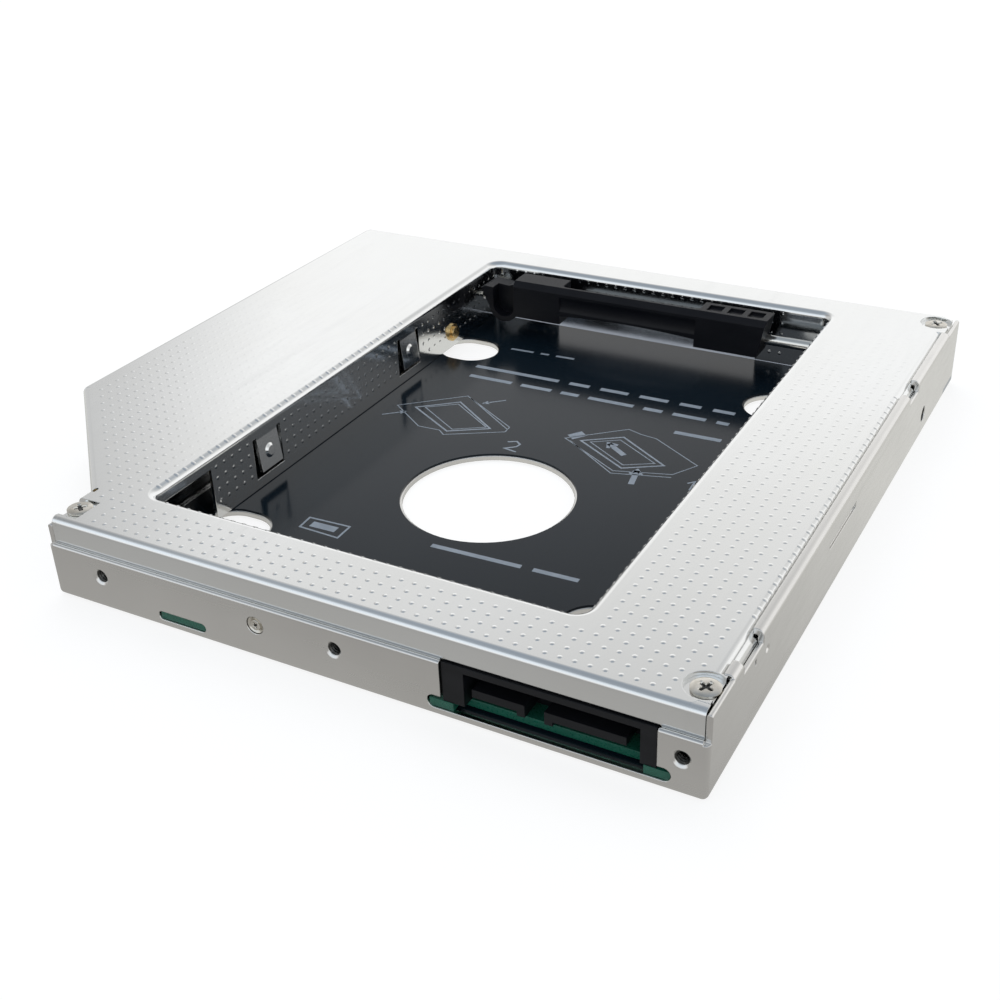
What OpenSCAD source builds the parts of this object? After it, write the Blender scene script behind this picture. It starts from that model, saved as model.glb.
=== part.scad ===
// Laptop drive caddy, 12.7 mm class: folded tray, dimpled cover, slimline plug, sliding retainer.
// Origin is the bottom centre of the envelope. X runs across, Y from the plug face to the bezel
// end, Z up. Sizes named "from the right" and "from the near end" are measured from those faces.

/* [Case] */
// overall width over the wing
case_w = 128; // [120:0.1:130]
// overall length from the plug face to the bezel end
case_d = 126; // [118:0.1:130]
// overall height
case_h = 12.7; // [11:0.1:14]
// width of the deep part of the tray
body_w = 101.3; // [98:0.1:104]
// distance from the near end to the start of the diagonal edge
diag_start = 9.8; // [6:0.1:14]
// sheet thickness of the tray
tray_t = 0.8; // [0.5:0.05:1.2]
// sheet thickness of the cover
cover_t = 0.6; // [0.4:0.05:1]
// thickness of the black insulating film
film_t = 0.25; // [0.1:0.05:0.5]
// small gap between parts that are laid or clipped together
seat_gap = 0.1; // [0.05:0.05:0.3]

/* [Tray] */
// top of the near wall
near_wall_h = 8.7; // [7:0.1:10]
// width of the rolled strip along the top of the right wall
roll_w = 1.5; // [1:0.1:2.5]
// outer radius of that roll
roll_r = 1; // [0.9:0.1:1.5]
// height of the lip at the bezel end
far_lip_h = 3.5; // [2:0.1:4.5]
// underside of the wing
wing_z = 7.2; // [6:0.1:9]
// height of the wing floor's own edge lip
wing_lip_h = 2; // [1:0.1:3]
// top of the right wall beside the cover screws
right_plain_h = 12.3; // [11:0.1:12.6]
// top of the right wall in the two catch notches
notch_h = 11; // [9:0.1:12]
// first catch notch, start and end from the near end
notch_a = [11.2, 18.3];
// second catch notch, start and end from the bezel end
notch_b_in = [36, 30];
// length of plain right wall at each screw
plain_len = 8.2; // [6:0.1:10]
// short slit below the first catch notch, start and end from the near end
slit_y = [15.2, 15.75];
// lower and upper end of that slit
slit_z = [9.4, 10.3];
// pressed dimple beside the first catch notch, from the near end and height
press_at = [20, 9];
// radius of that dimple at the face
press_r = 0.7; // [0.4:0.05:1]
// depth of that dimple
press_deep = 0.35; // [0.1:0.05:0.5]
// pressed groove in the right wall, start and end from the near end
groove_y = [46.3, 59.4];
// pressed groove in the right wall, lower and upper edge
groove_z = [8.2, 9.3];
// depth of that groove
groove_deep = 0.35; // [0.1:0.05:0.6]
// radius of the hole in the right wall
side_hole_r = 1.4; // [1:0.1:2]
// that hole, distance from the bezel end
side_hole_in = 24; // [10:0.1:40]
// height of that hole
side_hole_z = 4.1; // [3:0.1:7]

/* [Floor holes] */
// radius of the round floor hole
floor_hole_r = 13.95; // [10:0.05:16]
// its distance from the near end
floor_hole_y = 50.5; // [40:0.1:60]
// half width of the four long slots
slot_half = 4.85; // [3:0.05:6]
// length of each long slot
slot_len = 11.5; // [10:0.1:16]
// how far the slots reach into the drive opening
slot_reach = 9.4; // [6:0.1:12]
// near and far slot pair, distances from the near and far face of the drive opening
slot_rows_in = [12.7, 18];
// how far the film stands back from the edge of each floor hole
film_back = 0.35; // [0.1:0.05:1]

/* [Near wall] */
// height of the tapped holes and of the wall screw
wall_hole_z = 5.4; // [4:0.1:7]
// two tapped holes, distances from the right
tapped_right = [3.3, 51.8];
// third tapped hole, distance from the left
tapped_left_in = 9.4; // [6:0.1:12]
// radius of the tapped holes
tapped_r = 0.95; // [0.7:0.05:1.5]
// radius of the countersinks at their mouths
sink_r = 1.35; // [1:0.05:1.8]
// depth of those countersinks
sink_deep = 0.3; // [0.1:0.05:0.5]
// outer radius of their drawn collars
collar_r = 1.5; // [1.2:0.05:2]
// length of the drawn collars behind the wall
collar_len = 1; // [0.5:0.1:2]
// wall screw, distance from the right
wall_screw_at = 64.5; // [60:0.1:70]
// plug cut-out, right and left edge from the right
plug_cut = [6.3, 35.7];
// bottom of the plug cut-out
plug_cut_z = 2.9; // [2:0.1:4]
// lower slot under the cut-out, right and left end from the right
board_slot_a = [4.5, 37.7];
// small board slot, right and left end from the left
board_slot_b_in = [27.9, 19.5];
// lower and upper edge of the board slots
board_slot_z = [1.3, 2.75];

/* [Cover] */
// outer radius of the folds along the outer edge
edge_r = 1; // [0.7:0.1:1.5]
// plan radius of the cover's outer corners
edge_corner_r = 1.6; // [1.2:0.1:3]
// lower edge of the near flange
near_flange_z = 7.2; // [6:0.1:8.5]
// lower edge of the bezel end flange
far_flange_z = 9; // [7:0.1:11]
// lower edge of the right flange
right_flange_z = 9.5; // [7:0.1:11]
// gap between the rolled strip and the cover
strip_gap = 0.1; // [0.05:0.05:0.4]
// right face of the drive opening from the right
bay_right = 21.5; // [20:0.1:25]
// left face of the drive opening from the left side of the tray
rim_left = 9.5; // [8:0.1:12]
// near face of the drive opening from the near end
bay_near = 12.3; // [12:0.1:14]
// far face of the drive opening from the bezel end
rim_far = 7.8; // [6:0.1:10]
// height left above the sheet for its pressed dimples
dimple_room = 0.1; // [0:0.05:0.3]
// plan radius of the opening's corners
bay_corner_r = 2; // [1:0.1:4]
// outer radius of the fold round the opening
bay_fold_r = 1.2; // [0.8:0.1:2]
// depth of the drawn lip round the opening
bay_lip = 2.5; // [1.5:0.1:5]
// where the deep part of the left inner wall starts
left_wall_start = 25.7; // [20:0.1:30]
// window at the foot of the far inner wall, edges from the right and left face
window_in = [14, 14.2];
// top of that window
window_top = 6; // [4:0.1:8]
// gap between neighbouring inner walls at the corners
wall_relief = 0.3; // [0.2:0.05:1]
// clearance hole in the right inner wall for a drive screw
drive_hole_r = 1.6; // [1.5:0.05:2]

/* [Spring fingers] */
// finger centres from the near and far face of the drive opening
finger_in = [27.6, 34.5];
// width of each finger
finger_w = 5.4; // [4:0.1:8]
// width of the slot cut round each finger
finger_slot = 1; // [0.5:0.1:1.5]
// lower end of the slot
finger_low = 2.9; // [2:0.1:5]
// upper end of the slot, where the finger is attached
finger_top = 9.7; // [9:0.1:11]
// lean of the finger into the opening, degrees
finger_lean = 6; // [0:0.5:12]
// radius of the boss pressed into each finger
finger_boss_r = 1.6; // [1:0.1:2.5]
// how far that boss stands proud
finger_boss_out = 0.35; // [0.1:0.05:0.8]

/* [Cover screws] */
// near right screw, from the right and from the near end
screw_nr = [2.65, 5.4];
// near left screw, from the left and from the near end
screw_nl_in = [2.3, 5.2];
// far right screw, from the right and from the bezel end
screw_fr_in = [3.4, 4];
// radius of the dished recess round the two right screws
dish_r = 2.75; // [2:0.05:4]
// extra radius where the dish joins the sheet
dish_join = 0.55; // [0.3:0.05:1]
// how deep the pads lie under the top
pad_drop = 0.6; // [0.3:0.05:1]
// right edge of the pads from the right
pad_edge = 1; // [0.9:0.05:1.5]
// how far the near left notch reaches in from the left
nl_notch_w = 4.3; // [3:0.1:6]
// near left notch, start and end from the near end
nl_notch_y = [2.1, 7.3];
// screw head radius
head_r = 1.9; // [1.5:0.05:2.5]
// screw head height
head_h = 0.5; // [0.3:0.05:1]
// screw shank radius
shank_r = 0.9; // [0.7:0.05:1.2]
// bore radius in posts and nuts
bore_r = 0.95; // [0.75:0.05:1.3]
// clearance hole radius in sheet and board
clear_r = 1.1; // [1:0.05:1.5]
// screw length under the head
shank_len = 5.5; // [3:0.1:9]
// near right post radius
post_nr_r = 1.7; // [1.3:0.05:1.8]
// far right post radius
post_fr_r = 2; // [1.5:0.05:3]
// near left post, right and left face from the left
post_nl_in = [4.1, 0.9];
// near left post, length along the case
post_nl_len = 4; // [3:0.1:6]

/* [Circuit board] */
// board thickness
board_t = 1.2; // [0.6:0.1:1.6]
// underside of the board
board_z = 1.35; // [1.2:0.05:2]
// right end of the board from the right
board_right = 4.7; // [2:0.1:6]
// left end of the board from the left
board_left_in = 6.3; // [5:0.1:9]
// near and far edge of the board from the near end
board_y = [1.2, 8.6];
// near edge of the tabs that reach into the wall slots
tab_y = 0.3; // [0.1:0.05:0.7]
// play of the tabs in the wall slots
tab_play = 0.2; // [0.1:0.05:0.5]
// notch in front of the plug, right and left edge from the right
board_notch = [8.1, 34];
// depth of that notch from the near end
board_notch_y = 2.2; // [1.5:0.1:4]
// left board screw, distance from the left
board_screw_in = 8.8; // [7:0.1:12]
// board screws, distance from the near end
board_screw_y = 5; // [3:0.1:7]
// board screw head radius
board_head_r = 1.75; // [1.4:0.05:2.2]
// board screw head height
board_head_h = 0.6; // [0.4:0.05:1]
// standoff radius above the floor
standoff_r = 2.2; // [1.8:0.1:3]
// standoff radius inside the floor hole
standoff_neck_r = 1.5; // [1.3:0.05:2]
// filter capacitor size: across, along, high
cap_size = [0.8, 1.6, 0.9];
// filter capacitors, distances from the plug and from the drive socket
cap_in = [3.1, 2.6];
// filter capacitors, distances from the near end
cap_y = [3.4, 6.6];
// regulator size: across, along, high
chip_size = [3, 3, 1.1];
// regulator, from the left and from the near end
chip_in = [13.3, 5];

/* [Slimline plug] */
// housing, right and left face from the right
plug_x = [6.5, 35.5];
// housing, front and back from the near end
plug_y = [0.4, 6.6];
// top of the housing
plug_top = 8.55; // [7:0.05:9]
// thickness of the top rail
plug_rail = 0.85; // [0.5:0.05:1.5]
// width of the right end post
plug_post_r = 2.1; // [1:0.1:4]
// width of the left end post
plug_post_l = 3.1; // [1:0.1:4]
// depth of the cavity from the near end
plug_cavity_y = 5.2; // [3:0.1:6]
// front of the tongues from the near end
tongue_y = 1; // [0.5:0.1:2]
// tongues, lower and upper face
tongue_z = [3.95, 5.15];
// power tongue, right and left end from the right
tongue_power = [24.2, 31.6];
// signal tongue, right and left end from the right
tongue_signal = [10.6, 21.5];
// width of the key at the tongue ends
key_w = 1.1; // [0.8:0.1:1.5]
// how far the keys hang below the tongues
key_drop = 0.65; // [0.4:0.05:1.2]
// contact thickness
contact_t = 0.12; // [0.08:0.01:0.2]
// plug contact width
plug_contact_w = 0.55; // [0.3:0.05:0.7]
// signal contact pitch
signal_pitch = 1.27; // [1:0.01:1.5]
// power contact pitch
power_pitch = 1; // [0.8:0.01:1.5]
// first signal contact from the right end of its tongue
plug_signal_in = 0.95; // [0.5:0.05:2]
// first power contact from the right end of its tongue
plug_power_in = 1.8; // [1:0.05:3]
// front of the plug contacts from the near end
plug_contact_y = 1.5; // [1.1:0.1:2.5]

/* [Drive socket] */
// width of the body
socket_w = 37; // [36:0.1:40]
// body centre, distance to the left of the drive opening's centre line
socket_shift = 10.35; // [8:0.05:12]
// body, near and far face from the near end
socket_y = [5.2, 8.8];
// top of the body
socket_top = 8.2; // [7:0.1:9]
// step from the body to the nose, each side
nose_step = 1.1; // [0.5:0.1:2]
// nose, lower and upper face
nose_z = [3, 7.4];
// mouth of the nose from the near end
nose_y = 12.3; // [11:0.1:14]
// slot for the drive's blade, ends from the right and left face of the body
blade_in = [1.8, 1.9];
// slot for the drive's blade, lower and upper face
blade_z = [4.5, 6.1];
// bottom of the slot from the near end
blade_y = 6.4; // [6:0.1:8]
// key pocket width at each end of the slot
blade_key_w = 1.4; // [1:0.1:2]
// key pocket height above the slot
blade_key_h = 0.7; // [0.3:0.1:1]
// contact pitch
socket_pitch = 1.27; // [1.27:0.01:1.27]
// contact width
socket_contact_w = 0.6; // [0.4:0.05:0.8]
// front of the contacts from the near end
socket_contact_y = 11.4; // [10:0.1:12]
// first signal contact from the right face of the body
signal_first_in = 3.5; // [3:0.1:6]
// first power contact from the right face of the body
power_first_in = 15.5; // [14:0.1:18]

/* [Wall screw] */
// head radius
wall_head_r = 1.3; // [1:0.05:2]
// head height
wall_head_h = 0.5; // [0.3:0.05:0.7]
// radius of the sunk seat in the wall
wall_seat_r = 1.4; // [1.1:0.05:2]
// depth of that seat
wall_seat = 0.55; // [0.3:0.05:0.6]
// nut block size: across, along, high
nut_size = [5.2, 3.6, 3.7];

/* [Locating stud] */
// distance from the far face of the drive opening
stud_in = 18.4; // [10:0.1:30]
// height
stud_z = 4.2; // [3:0.1:6]
// radius of the rim
stud_rim_r = 1.75; // [1.2:0.05:2.5]
// thickness of the rim
stud_rim_t = 0.35; // [0.2:0.05:0.6]
// radius of the nose
stud_nose_r = 1.2; // [0.8:0.05:1.5]
// how far the nose stands into the bay
stud_out = 0.9; // [0.5:0.05:1.5]
// radius of the neck in the wall
stud_neck_r = 1.1; // [0.8:0.05:1.5]
// radius of the riveted tail
stud_tail_r = 1.6; // [1.2:0.05:2]
// thickness of the riveted tail
stud_tail_t = 0.5; // [0.3:0.05:0.8]

/* [Retainer] */
// front and back plane of the blocks from the far face of the drive opening
bar_in = [8.3, 3];
// top of the bar
bar_top = 12.4; // [11:0.1:12.6]
// chamfer along the top front edge
bar_chamfer = 1; // [0.3:0.1:2]
// right block, right and left end at the top from the right
block_r_top = [31.2, 44.6];
// how far its two ends shift to the left toward the bottom
block_r_lean = [1.4, 0.4];
// underside of the right block
block_r_z = 5.3; // [4:0.1:7]
// left block, right and left end from the left face of the drive opening
block_l_in = [18.7, 8.5];
// underside of the left block
block_l_z = 5.1; // [4:0.1:7]
// thickness of the middle web
web_t = 1.5; // [1:0.1:3]
// underside of the web at its ends
web_end_z = 6.8; // [5:0.1:8]
// rise of the arched underside
web_arch = 0.6; // [0.1:0.1:1.5]
// height of the shallow groove in the web
web_groove_h = 3; // [1:0.1:5]
// depth of that groove
web_groove = 0.35; // [0.1:0.05:0.8]
// middle height of that groove
web_groove_z = 9.3; // [8:0.1:11]
// radius of the fillets behind the web
web_fillet = 1; // [0.3:0.1:2]
// finger trough, centre from the left face of the drive opening
trough_in = 6.2; // [4:0.1:8]
// finger trough, height of its centre
trough_z = 7; // [5:0.1:8]
// inner radius of the trough
trough_r = 2.3; // [1.5:0.1:3]
// wall under the trough
trough_wall = 1; // [0.5:0.1:2]
// outer edge of the trough arm from the left face of the drive opening
trough_arm_in = 1.2; // [0.5:0.1:3]
// top of the trough arm
trough_arm_z = 10.2; // [8:0.1:11]
// depth of the trough's hollow from the front plane
trough_deep = 2.5; // [1.5:0.1:4]
// shallow pockets on top of the right block, distances from its right end
pocket_in = [2.7, 6.7, 10.7];
// pocket size: across, along, deep
pocket_size = [2.9, 2.6, 0.5];
// pocket centre from the front plane
pocket_back = 3.1; // [2:0.1:4]
// rod radius
rod_r = 1; // [0.8:0.05:1.5]
// rod centre from the far face of the drive opening
rod_in = 4.3; // [3:0.1:6]
// height of the rod centre
rod_z = 7.55; // [6:0.05:9]
// how far the rod passes the right and left face of the drive opening
rod_over = [2, 1.5];
// play of the rod in the bar
rod_play = 0.02; // [0.01:0.01:0.1]
// play of the rod in the wall slots
guide_play = 0.3; // [0.3:0.05:0.5]
// travel of the retainer toward the bezel end
retainer_travel = 2.8; // [1:0.1:2.8]

/* [Hidden] */
$fn = 64;
arch_steps = 256;
far_d = case_d;
wall_foot = tray_t + film_t + seat_gap;
cover_top = case_h - dimple_room;
lip_z = cover_top - bay_lip;
pad_top = cover_top - pad_drop;
pad_low = pad_top - cover_t;
plate_low = cover_top - cover_t;
bay_x = [bay_right, body_w - rim_left];
bay_y = [bay_near, case_d - rim_far];
bay_mid = (bay_x[0] + bay_x[1]) / 2;
floor_hole = [bay_mid, floor_hole_y];
slot_rows = [bay_y[0] + slot_rows_in[0], bay_y[1] - slot_rows_in[1]];
tapped_at = concat(tapped_right, [body_w - tapped_left_in]);
side_hole = [case_d - side_hole_in, side_hole_z];
notch_b = [case_d - notch_b_in[0], case_d - notch_b_in[1]];
window_x = [bay_x[0] + window_in[0], bay_x[1] - window_in[1]];
finger_at = [bay_y[0] + finger_in[0], bay_y[1] - finger_in[1]];
screw_nl = [body_w - screw_nl_in[0], screw_nl_in[1]];
screw_fr = [screw_fr_in[0], case_d - screw_fr_in[1]];
nl_notch_x = body_w - nl_notch_w;
post_nl_x = [body_w - post_nl_in[0], body_w - post_nl_in[1]];
socket_mid = bay_mid + socket_shift;
socket_x = [socket_mid - socket_w / 2, socket_mid + socket_w / 2];
blade_x = [socket_x[0] + blade_in[0], socket_x[1] - blade_in[1]];
board_x = [board_right, body_w - board_left_in];
board_slot_b = [body_w - board_slot_b_in[0], body_w - board_slot_b_in[1]];
board_screw_at = [(plug_x[1] + socket_x[0]) / 2, body_w - board_screw_in];
cap_x = [plug_x[1] + cap_in[0], socket_x[0] - cap_in[1]];
chip_at = [body_w - chip_in[0], chip_in[1]];
stud_at = [bay_y[1] - stud_in, stud_z];
bar_y = [bay_y[1] - bar_in[0], bay_y[1] - bar_in[1]];
block_r_low = [block_r_top[0] + block_r_lean[0], block_r_top[1] + block_r_lean[1]];
block_l = [bay_x[1] - block_l_in[0], bay_x[1] - block_l_in[1]];
trough_at = [bay_x[1] - trough_in, trough_z];
trough_arm = [bay_x[1] - trough_arm_in, trough_arm_z];
trough_back = bar_y[0] + trough_deep;
pocket_at = [for (shift = pocket_in) block_r_top[0] + shift];
pocket_y = bar_y[0] + pocket_back;
rod_at = [bay_y[1] - rod_in, rod_z];
rod_x = [bay_x[0] - rod_over[0], bay_x[1] + rod_over[1]];
cover_right = roll_w + strip_gap;
cover_near = tray_t;
diag_shift = body_w - diag_start;
board_top = board_z + board_t;
left_slots = bay_x[1] - slot_reach;
right_slots = bay_x[0] + slot_reach;
signal_n = 7;
plug_power_n = 6;
socket_power_n = 15;
cut = 1;

// node to show

// X of a distance from the right face
function fx(d) = case_w / 2 - d;
// Y of a distance from the near end
function fy(e) = e - case_d / 2;
// plan point from both distances
function at(d, e) = [fx(d), fy(e)];
// distance from the near end of the diagonal edge, set back by s
function diag_e(d, s) = d - diag_shift + s * sqrt(2);

// box between two distances from the right, two from the near end and two heights
module block(d, e, z) {
    translate([fx(d[1]), fy(e[0]), z[0]])
        cube([d[1] - d[0], e[1] - e[0], z[1] - z[0]]);
}

// shape drawn in Y and Z, run across the case
module across(d) {
    translate([fx(d[1]), 0, 0])
        rotate([90, 0, 90])
            linear_extrude(height = d[1] - d[0])
                children();
}

// shape drawn in X and Z, run along the case
module along(e) {
    translate([0, fy(e[1]), 0])
        rotate([90, 0, 0])
            linear_extrude(height = e[1] - e[0])
                children();
}

// upright cylinder
module upright(p, r, z) {
    translate([fx(p[0]), fy(p[1]), z[0]])
        cylinder(r = r, h = z[1] - z[0]);
}

// cylinder along the case at a distance from the right and a height
module lengthwise(d, z, r, e) {
    along(e)
        translate([fx(d), z])
            circle(r = r);
}

// cylinder across the case at a distance from the near end and a height
module crosswise(e, z, r, d) {
    across(d)
        translate([fy(e), z])
            circle(r = r);
}

// quarter disc filling the lower left of its centre
module quarter(r) {
    intersection() {
        circle(r = r);
        translate([-r, -r])
            square(r);
    }
}

// folded sheet edge: flat end at zero, turning down on the negative side
module fold(r, t, depth, top) {
    difference() {
        intersection() {
            translate([0, top - r])
                circle(r = r);
            translate([-r, top - r])
                square(r);
        }
        translate([0, top - r])
            circle(r = r - t);
    }
    if (depth > r) {
        translate([-r, top - depth])
            square([t, depth - r]);
    }
}

// long slot in the floor
module floor_slot(d, e, grow) {
    half = slot_half + grow;
    span = slot_len - 2 * slot_half;
    translate([fx(d), fy(e)])
        circle(r = half);
    translate([fx(d + span), fy(e)])
        circle(r = half);
    translate([fx(d + span), fy(e) - half])
        square([span, 2 * half]);
}

// all floor holes, grown by g for the film
module floor_holes(g) {
    translate(at(floor_hole[0], floor_hole[1]))
        circle(r = floor_hole_r + g);
    for (e = slot_rows) {
        floor_slot(left_slots + slot_half, e, g);
        floor_slot(right_slots - slot_len + slot_half, e, g);
    }
}

// tray wall drawn in Y and Z: thickness, rounded top
module wall_section(top) {
    translate([0, tray_t])
        square([tray_t, top - tray_t - tray_t / 2]);
    translate([tray_t / 2, top - tray_t / 2])
        circle(r = tray_t / 2);
}

// right wall run between two distances, plain
module right_plain(e, top) {
    along(e)
        translate([fx(0), 0])
            mirror([1, 0])
                wall_section(top);
}

// right wall run between two distances, rolled over at the top
module right_rolled(e) {
    along(e)
        translate([fx(0), 0])
            mirror([1, 0]) {
                translate([0, tray_t])
                    square([tray_t, case_h - roll_r - tray_t]);
                translate([roll_r, 0])
                    fold(roll_r, tray_t, roll_r, case_h);
                translate([roll_r, case_h - tray_t])
                    square([roll_w - roll_r, tray_t]);
            }
}

// outline of the wing floor, set back by s from the envelope
module wing_outline(s) {
    polygon([
        at(body_w - tray_t, diag_e(body_w - tray_t, s)),
        at(body_w - tray_t, far_d - s),
        at(case_w - s, far_d - s),
        at(case_w - s, diag_e(case_w - s, s))
    ]);
}

module tray_shell() {
    block([tray_t, body_w - tray_t], [tray_t, far_d - tray_t], [0, tray_t]);
    across([tray_t, body_w - tray_t])
        translate([fy(tray_t), tray_t])
            quarter(tray_t);
    across([tray_t, body_w - tray_t])
        translate([fy(far_d - tray_t), tray_t])
            mirror([1, 0])
                quarter(tray_t);
    along([tray_t, far_d - tray_t])
        translate([fx(body_w - tray_t), tray_t])
            quarter(tray_t);
    along([tray_t, far_d - tray_t])
        translate([fx(tray_t), tray_t])
            mirror([1, 0])
                quarter(tray_t);
    for (d = [tray_t, body_w - tray_t])
        for (e = [tray_t, far_d - tray_t])
            translate([fx(d), fy(e), tray_t])
                sphere(r = tray_t);
    // near wall
    across([tray_t, body_w - tray_t])
        translate([fy(0), 0])
            wall_section(near_wall_h);
    // far lip
    across([tray_t, body_w - tray_t])
        translate([fy(far_d), 0])
            mirror([1, 0])
                wall_section(far_lip_h);
    // upright corners
    upright([tray_t, tray_t], tray_t, [tray_t, near_wall_h - tray_t / 2]);
    upright([body_w - tray_t, tray_t], tray_t, [tray_t, near_wall_h - tray_t / 2]);
    upright([tray_t, far_d - tray_t], tray_t, [tray_t, far_lip_h - tray_t / 2]);
    upright([body_w - tray_t, far_d - tray_t], tray_t, [tray_t, far_lip_h - tray_t / 2]);
    // right wall, plain at the screws and lower in the catch notches
    right_plain([tray_t, plain_len], right_plain_h);
    right_rolled([plain_len, notch_a[0]]);
    right_plain(notch_a, notch_h);
    right_rolled([notch_a[1], notch_b[0]]);
    right_plain(notch_b, notch_h);
    right_rolled([notch_b[1], far_d - plain_len]);
    right_plain([far_d - plain_len, far_d - tray_t], right_plain_h);
    // left wall, high beside the near left screw, then up to the wing floor
    along([tray_t, diag_start])
        translate([fx(body_w), 0])
            wall_section(cover_top - edge_r - seat_gap);
    block([body_w - tray_t, body_w], [diag_start, far_d - tray_t], [tray_t, wing_z]);
    // wing floor and its edge lip
    translate([0, 0, wing_z])
        linear_extrude(height = tray_t)
            wing_outline(cover_t);
    translate([0, 0, wing_z + tray_t])
        linear_extrude(height = wing_lip_h)
            difference() {
                wing_outline(cover_t);
                wing_outline(cover_t + tray_t);
                translate(at(body_w + tray_t, far_d))
                    square([2 * tray_t + cut, tray_t * 3], center = true);
            }
    // drawn collars behind the tapped holes
    for (d = tapped_at)
        lengthwise(d, wall_hole_z, collar_r, [tray_t / 2, tray_t + collar_len]);
}

// cone sunk into a face at zero, wide at the face and narrow at its depth
module mouth(wide, narrow, deep) {
    translate([0, 0, -deep])
        cylinder(r1 = 2 * wide - narrow, r2 = narrow, h = 2 * deep);
}

// slot with round ends in the near wall
module wall_slot(d, z) {
    r = (z[1] - z[0]) / 2;
    translate([fx(d[0] + r), z[0] + r])
        circle(r = r);
    translate([fx(d[1] - r), z[0] + r])
        circle(r = r);
    translate([fx(d[1] - r), z[0]])
        square([d[1] - d[0] - 2 * r, 2 * r]);
}

module bottom_tray() {
    color("silver")
        difference() {
            tray_shell();
            translate([0, 0, -cut])
                linear_extrude(height = tray_t + 2 * cut)
                    floor_holes(0);
            // plug cut-out and board slots
            block(plug_cut, [-cut, tray_t + cut / 2], [plug_cut_z, case_h]);
            along([-cut, tray_t + cut / 2])
                wall_slot(board_slot_a, [board_slot_z[0], plug_cut_z + tray_t / 2]);
            along([-cut, tray_t + cut / 2])
                wall_slot(board_slot_b, board_slot_z);
            // tapped holes and screw seat
            for (d = tapped_at)
                lengthwise(d, wall_hole_z, tapped_r, [-cut, tray_t + collar_len + cut]);
            for (d = tapped_at)
                translate([fx(d), fy(0), wall_hole_z])
                    rotate([-90, 0, 0])
                        mouth(sink_r, tapped_r, sink_deep);
            lengthwise(wall_screw_at, wall_hole_z, clear_r, [-cut, tray_t + cut]);
            lengthwise(wall_screw_at, wall_hole_z, wall_seat_r, [-cut, wall_seat]);
            // right wall groove and hole
            block([-cut, groove_deep], groove_y, groove_z);
            block([-cut, tray_t + cut], slit_y, slit_z);
            translate([fx(0), fy(press_at[0]), press_at[1]])
                rotate([0, -90, 0])
                    mouth(press_r, press_r / 2, press_deep);
            crosswise(side_hole[0], side_hole[1], side_hole_r, [-cut, tray_t + cut]);
            // holes for the standoffs
            for (d = board_screw_at)
                upright([d, board_screw_y], standoff_neck_r, [-cut, tray_t + cut]);
        }
}

module floor_film() {
    color("black")
        translate([0, 0, tray_t])
            linear_extrude(height = film_t)
                difference() {
                    translate(at(body_w - 2 * tray_t, 2 * tray_t))
                        square([body_w - 4 * tray_t, bay_y[1] - 2 * tray_t - seat_gap]);
                    floor_holes(film_back);
                    translate(at(screw_nr[0], screw_nr[1]))
                        circle(r = post_nr_r + seat_gap * 3);
                    translate(at(body_w, 0))
                        square([body_w - post_nl_x[0] + seat_gap * 3,
                            screw_nl[1] + post_nl_len / 2 + seat_gap * 3]);
                    for (d = board_screw_at)
                        translate(at(d, board_screw_y))
                            circle(r = standoff_r + seat_gap * 3);
                }
}

// section of a cover edge, outside at plus X, with a flat strip that laps the top
module edge_section(depth) {
    mirror([1, 0])
        fold(edge_r, cover_t, depth, cover_top);
    translate([-lap, plate_low])
        square([lap, cover_t]);
}

// straight folded edge, starting beside a corner centre that faces dir
module flange_run(c, dir, run, depth) {
    translate([c[0], c[1], 0])
        rotate([0, 0, dir])
            translate([corner_step, run, 0])
                rotate([90, 0, 0])
                    linear_extrude(height = run)
                        edge_section(depth);
}

// folded corner of the cover, turning from one outside direction to the next
module flange_corner(c, from, turn, depth) {
    translate([c[0], c[1], 0])
        rotate([0, 0, from])
            rotate_extrude(angle = turn)
                translate([corner_step, 0])
                    edge_section(depth);
}

// rectangle with round corners
module round_rect(d, e, r) {
    translate(at(d[1], e[0] + r))
        square([d[1] - d[0], e[1] - e[0] - 2 * r]);
    translate(at(d[1] - r, e[0]))
        square([d[1] - d[0] - 2 * r, e[1] - e[0]]);
    for (x = [d[0] + r, d[1] - r])
        for (y = [e[0] + r, e[1] - r])
            translate(at(x, y))
                circle(r = r);
}

// centres of the cover's rounded outer corners
near_left = at(body_w - edge_corner_r, cover_near + edge_corner_r);
near_right = at(cover_right + edge_corner_r, cover_near + edge_corner_r);
far_right = at(cover_right + edge_corner_r, far_d - edge_corner_r);
far_left = at(case_w - edge_corner_r, far_d - edge_corner_r);
wing_corner_e = round(diag_e(case_w - edge_corner_r, edge_corner_r) * 100) / 100;
wing_corner = at(case_w - edge_corner_r, wing_corner_e);
// outside directions of the cover's edges, degrees
out_near = 270;
out_right = 0;
out_far = 90;
out_wing = 180;
out_diag = 225;
corner_step = edge_corner_r - edge_r;
// flat strip shared by each folded edge and the top
lap = 0.4;
// where the diagonal fold meets the left one
body_corner_e = diag_e(body_w - edge_r, edge_r);
left_end_e = body_corner_e - edge_r * sqrt(2) / 2 - seat_gap;

// point beside a corner centre, inside the lap
function beside(c, dir) = [
    c[0] + (corner_step - lap / 2) * cos(dir),
    c[1] + (corner_step - lap / 2) * sin(dir)
];

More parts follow.
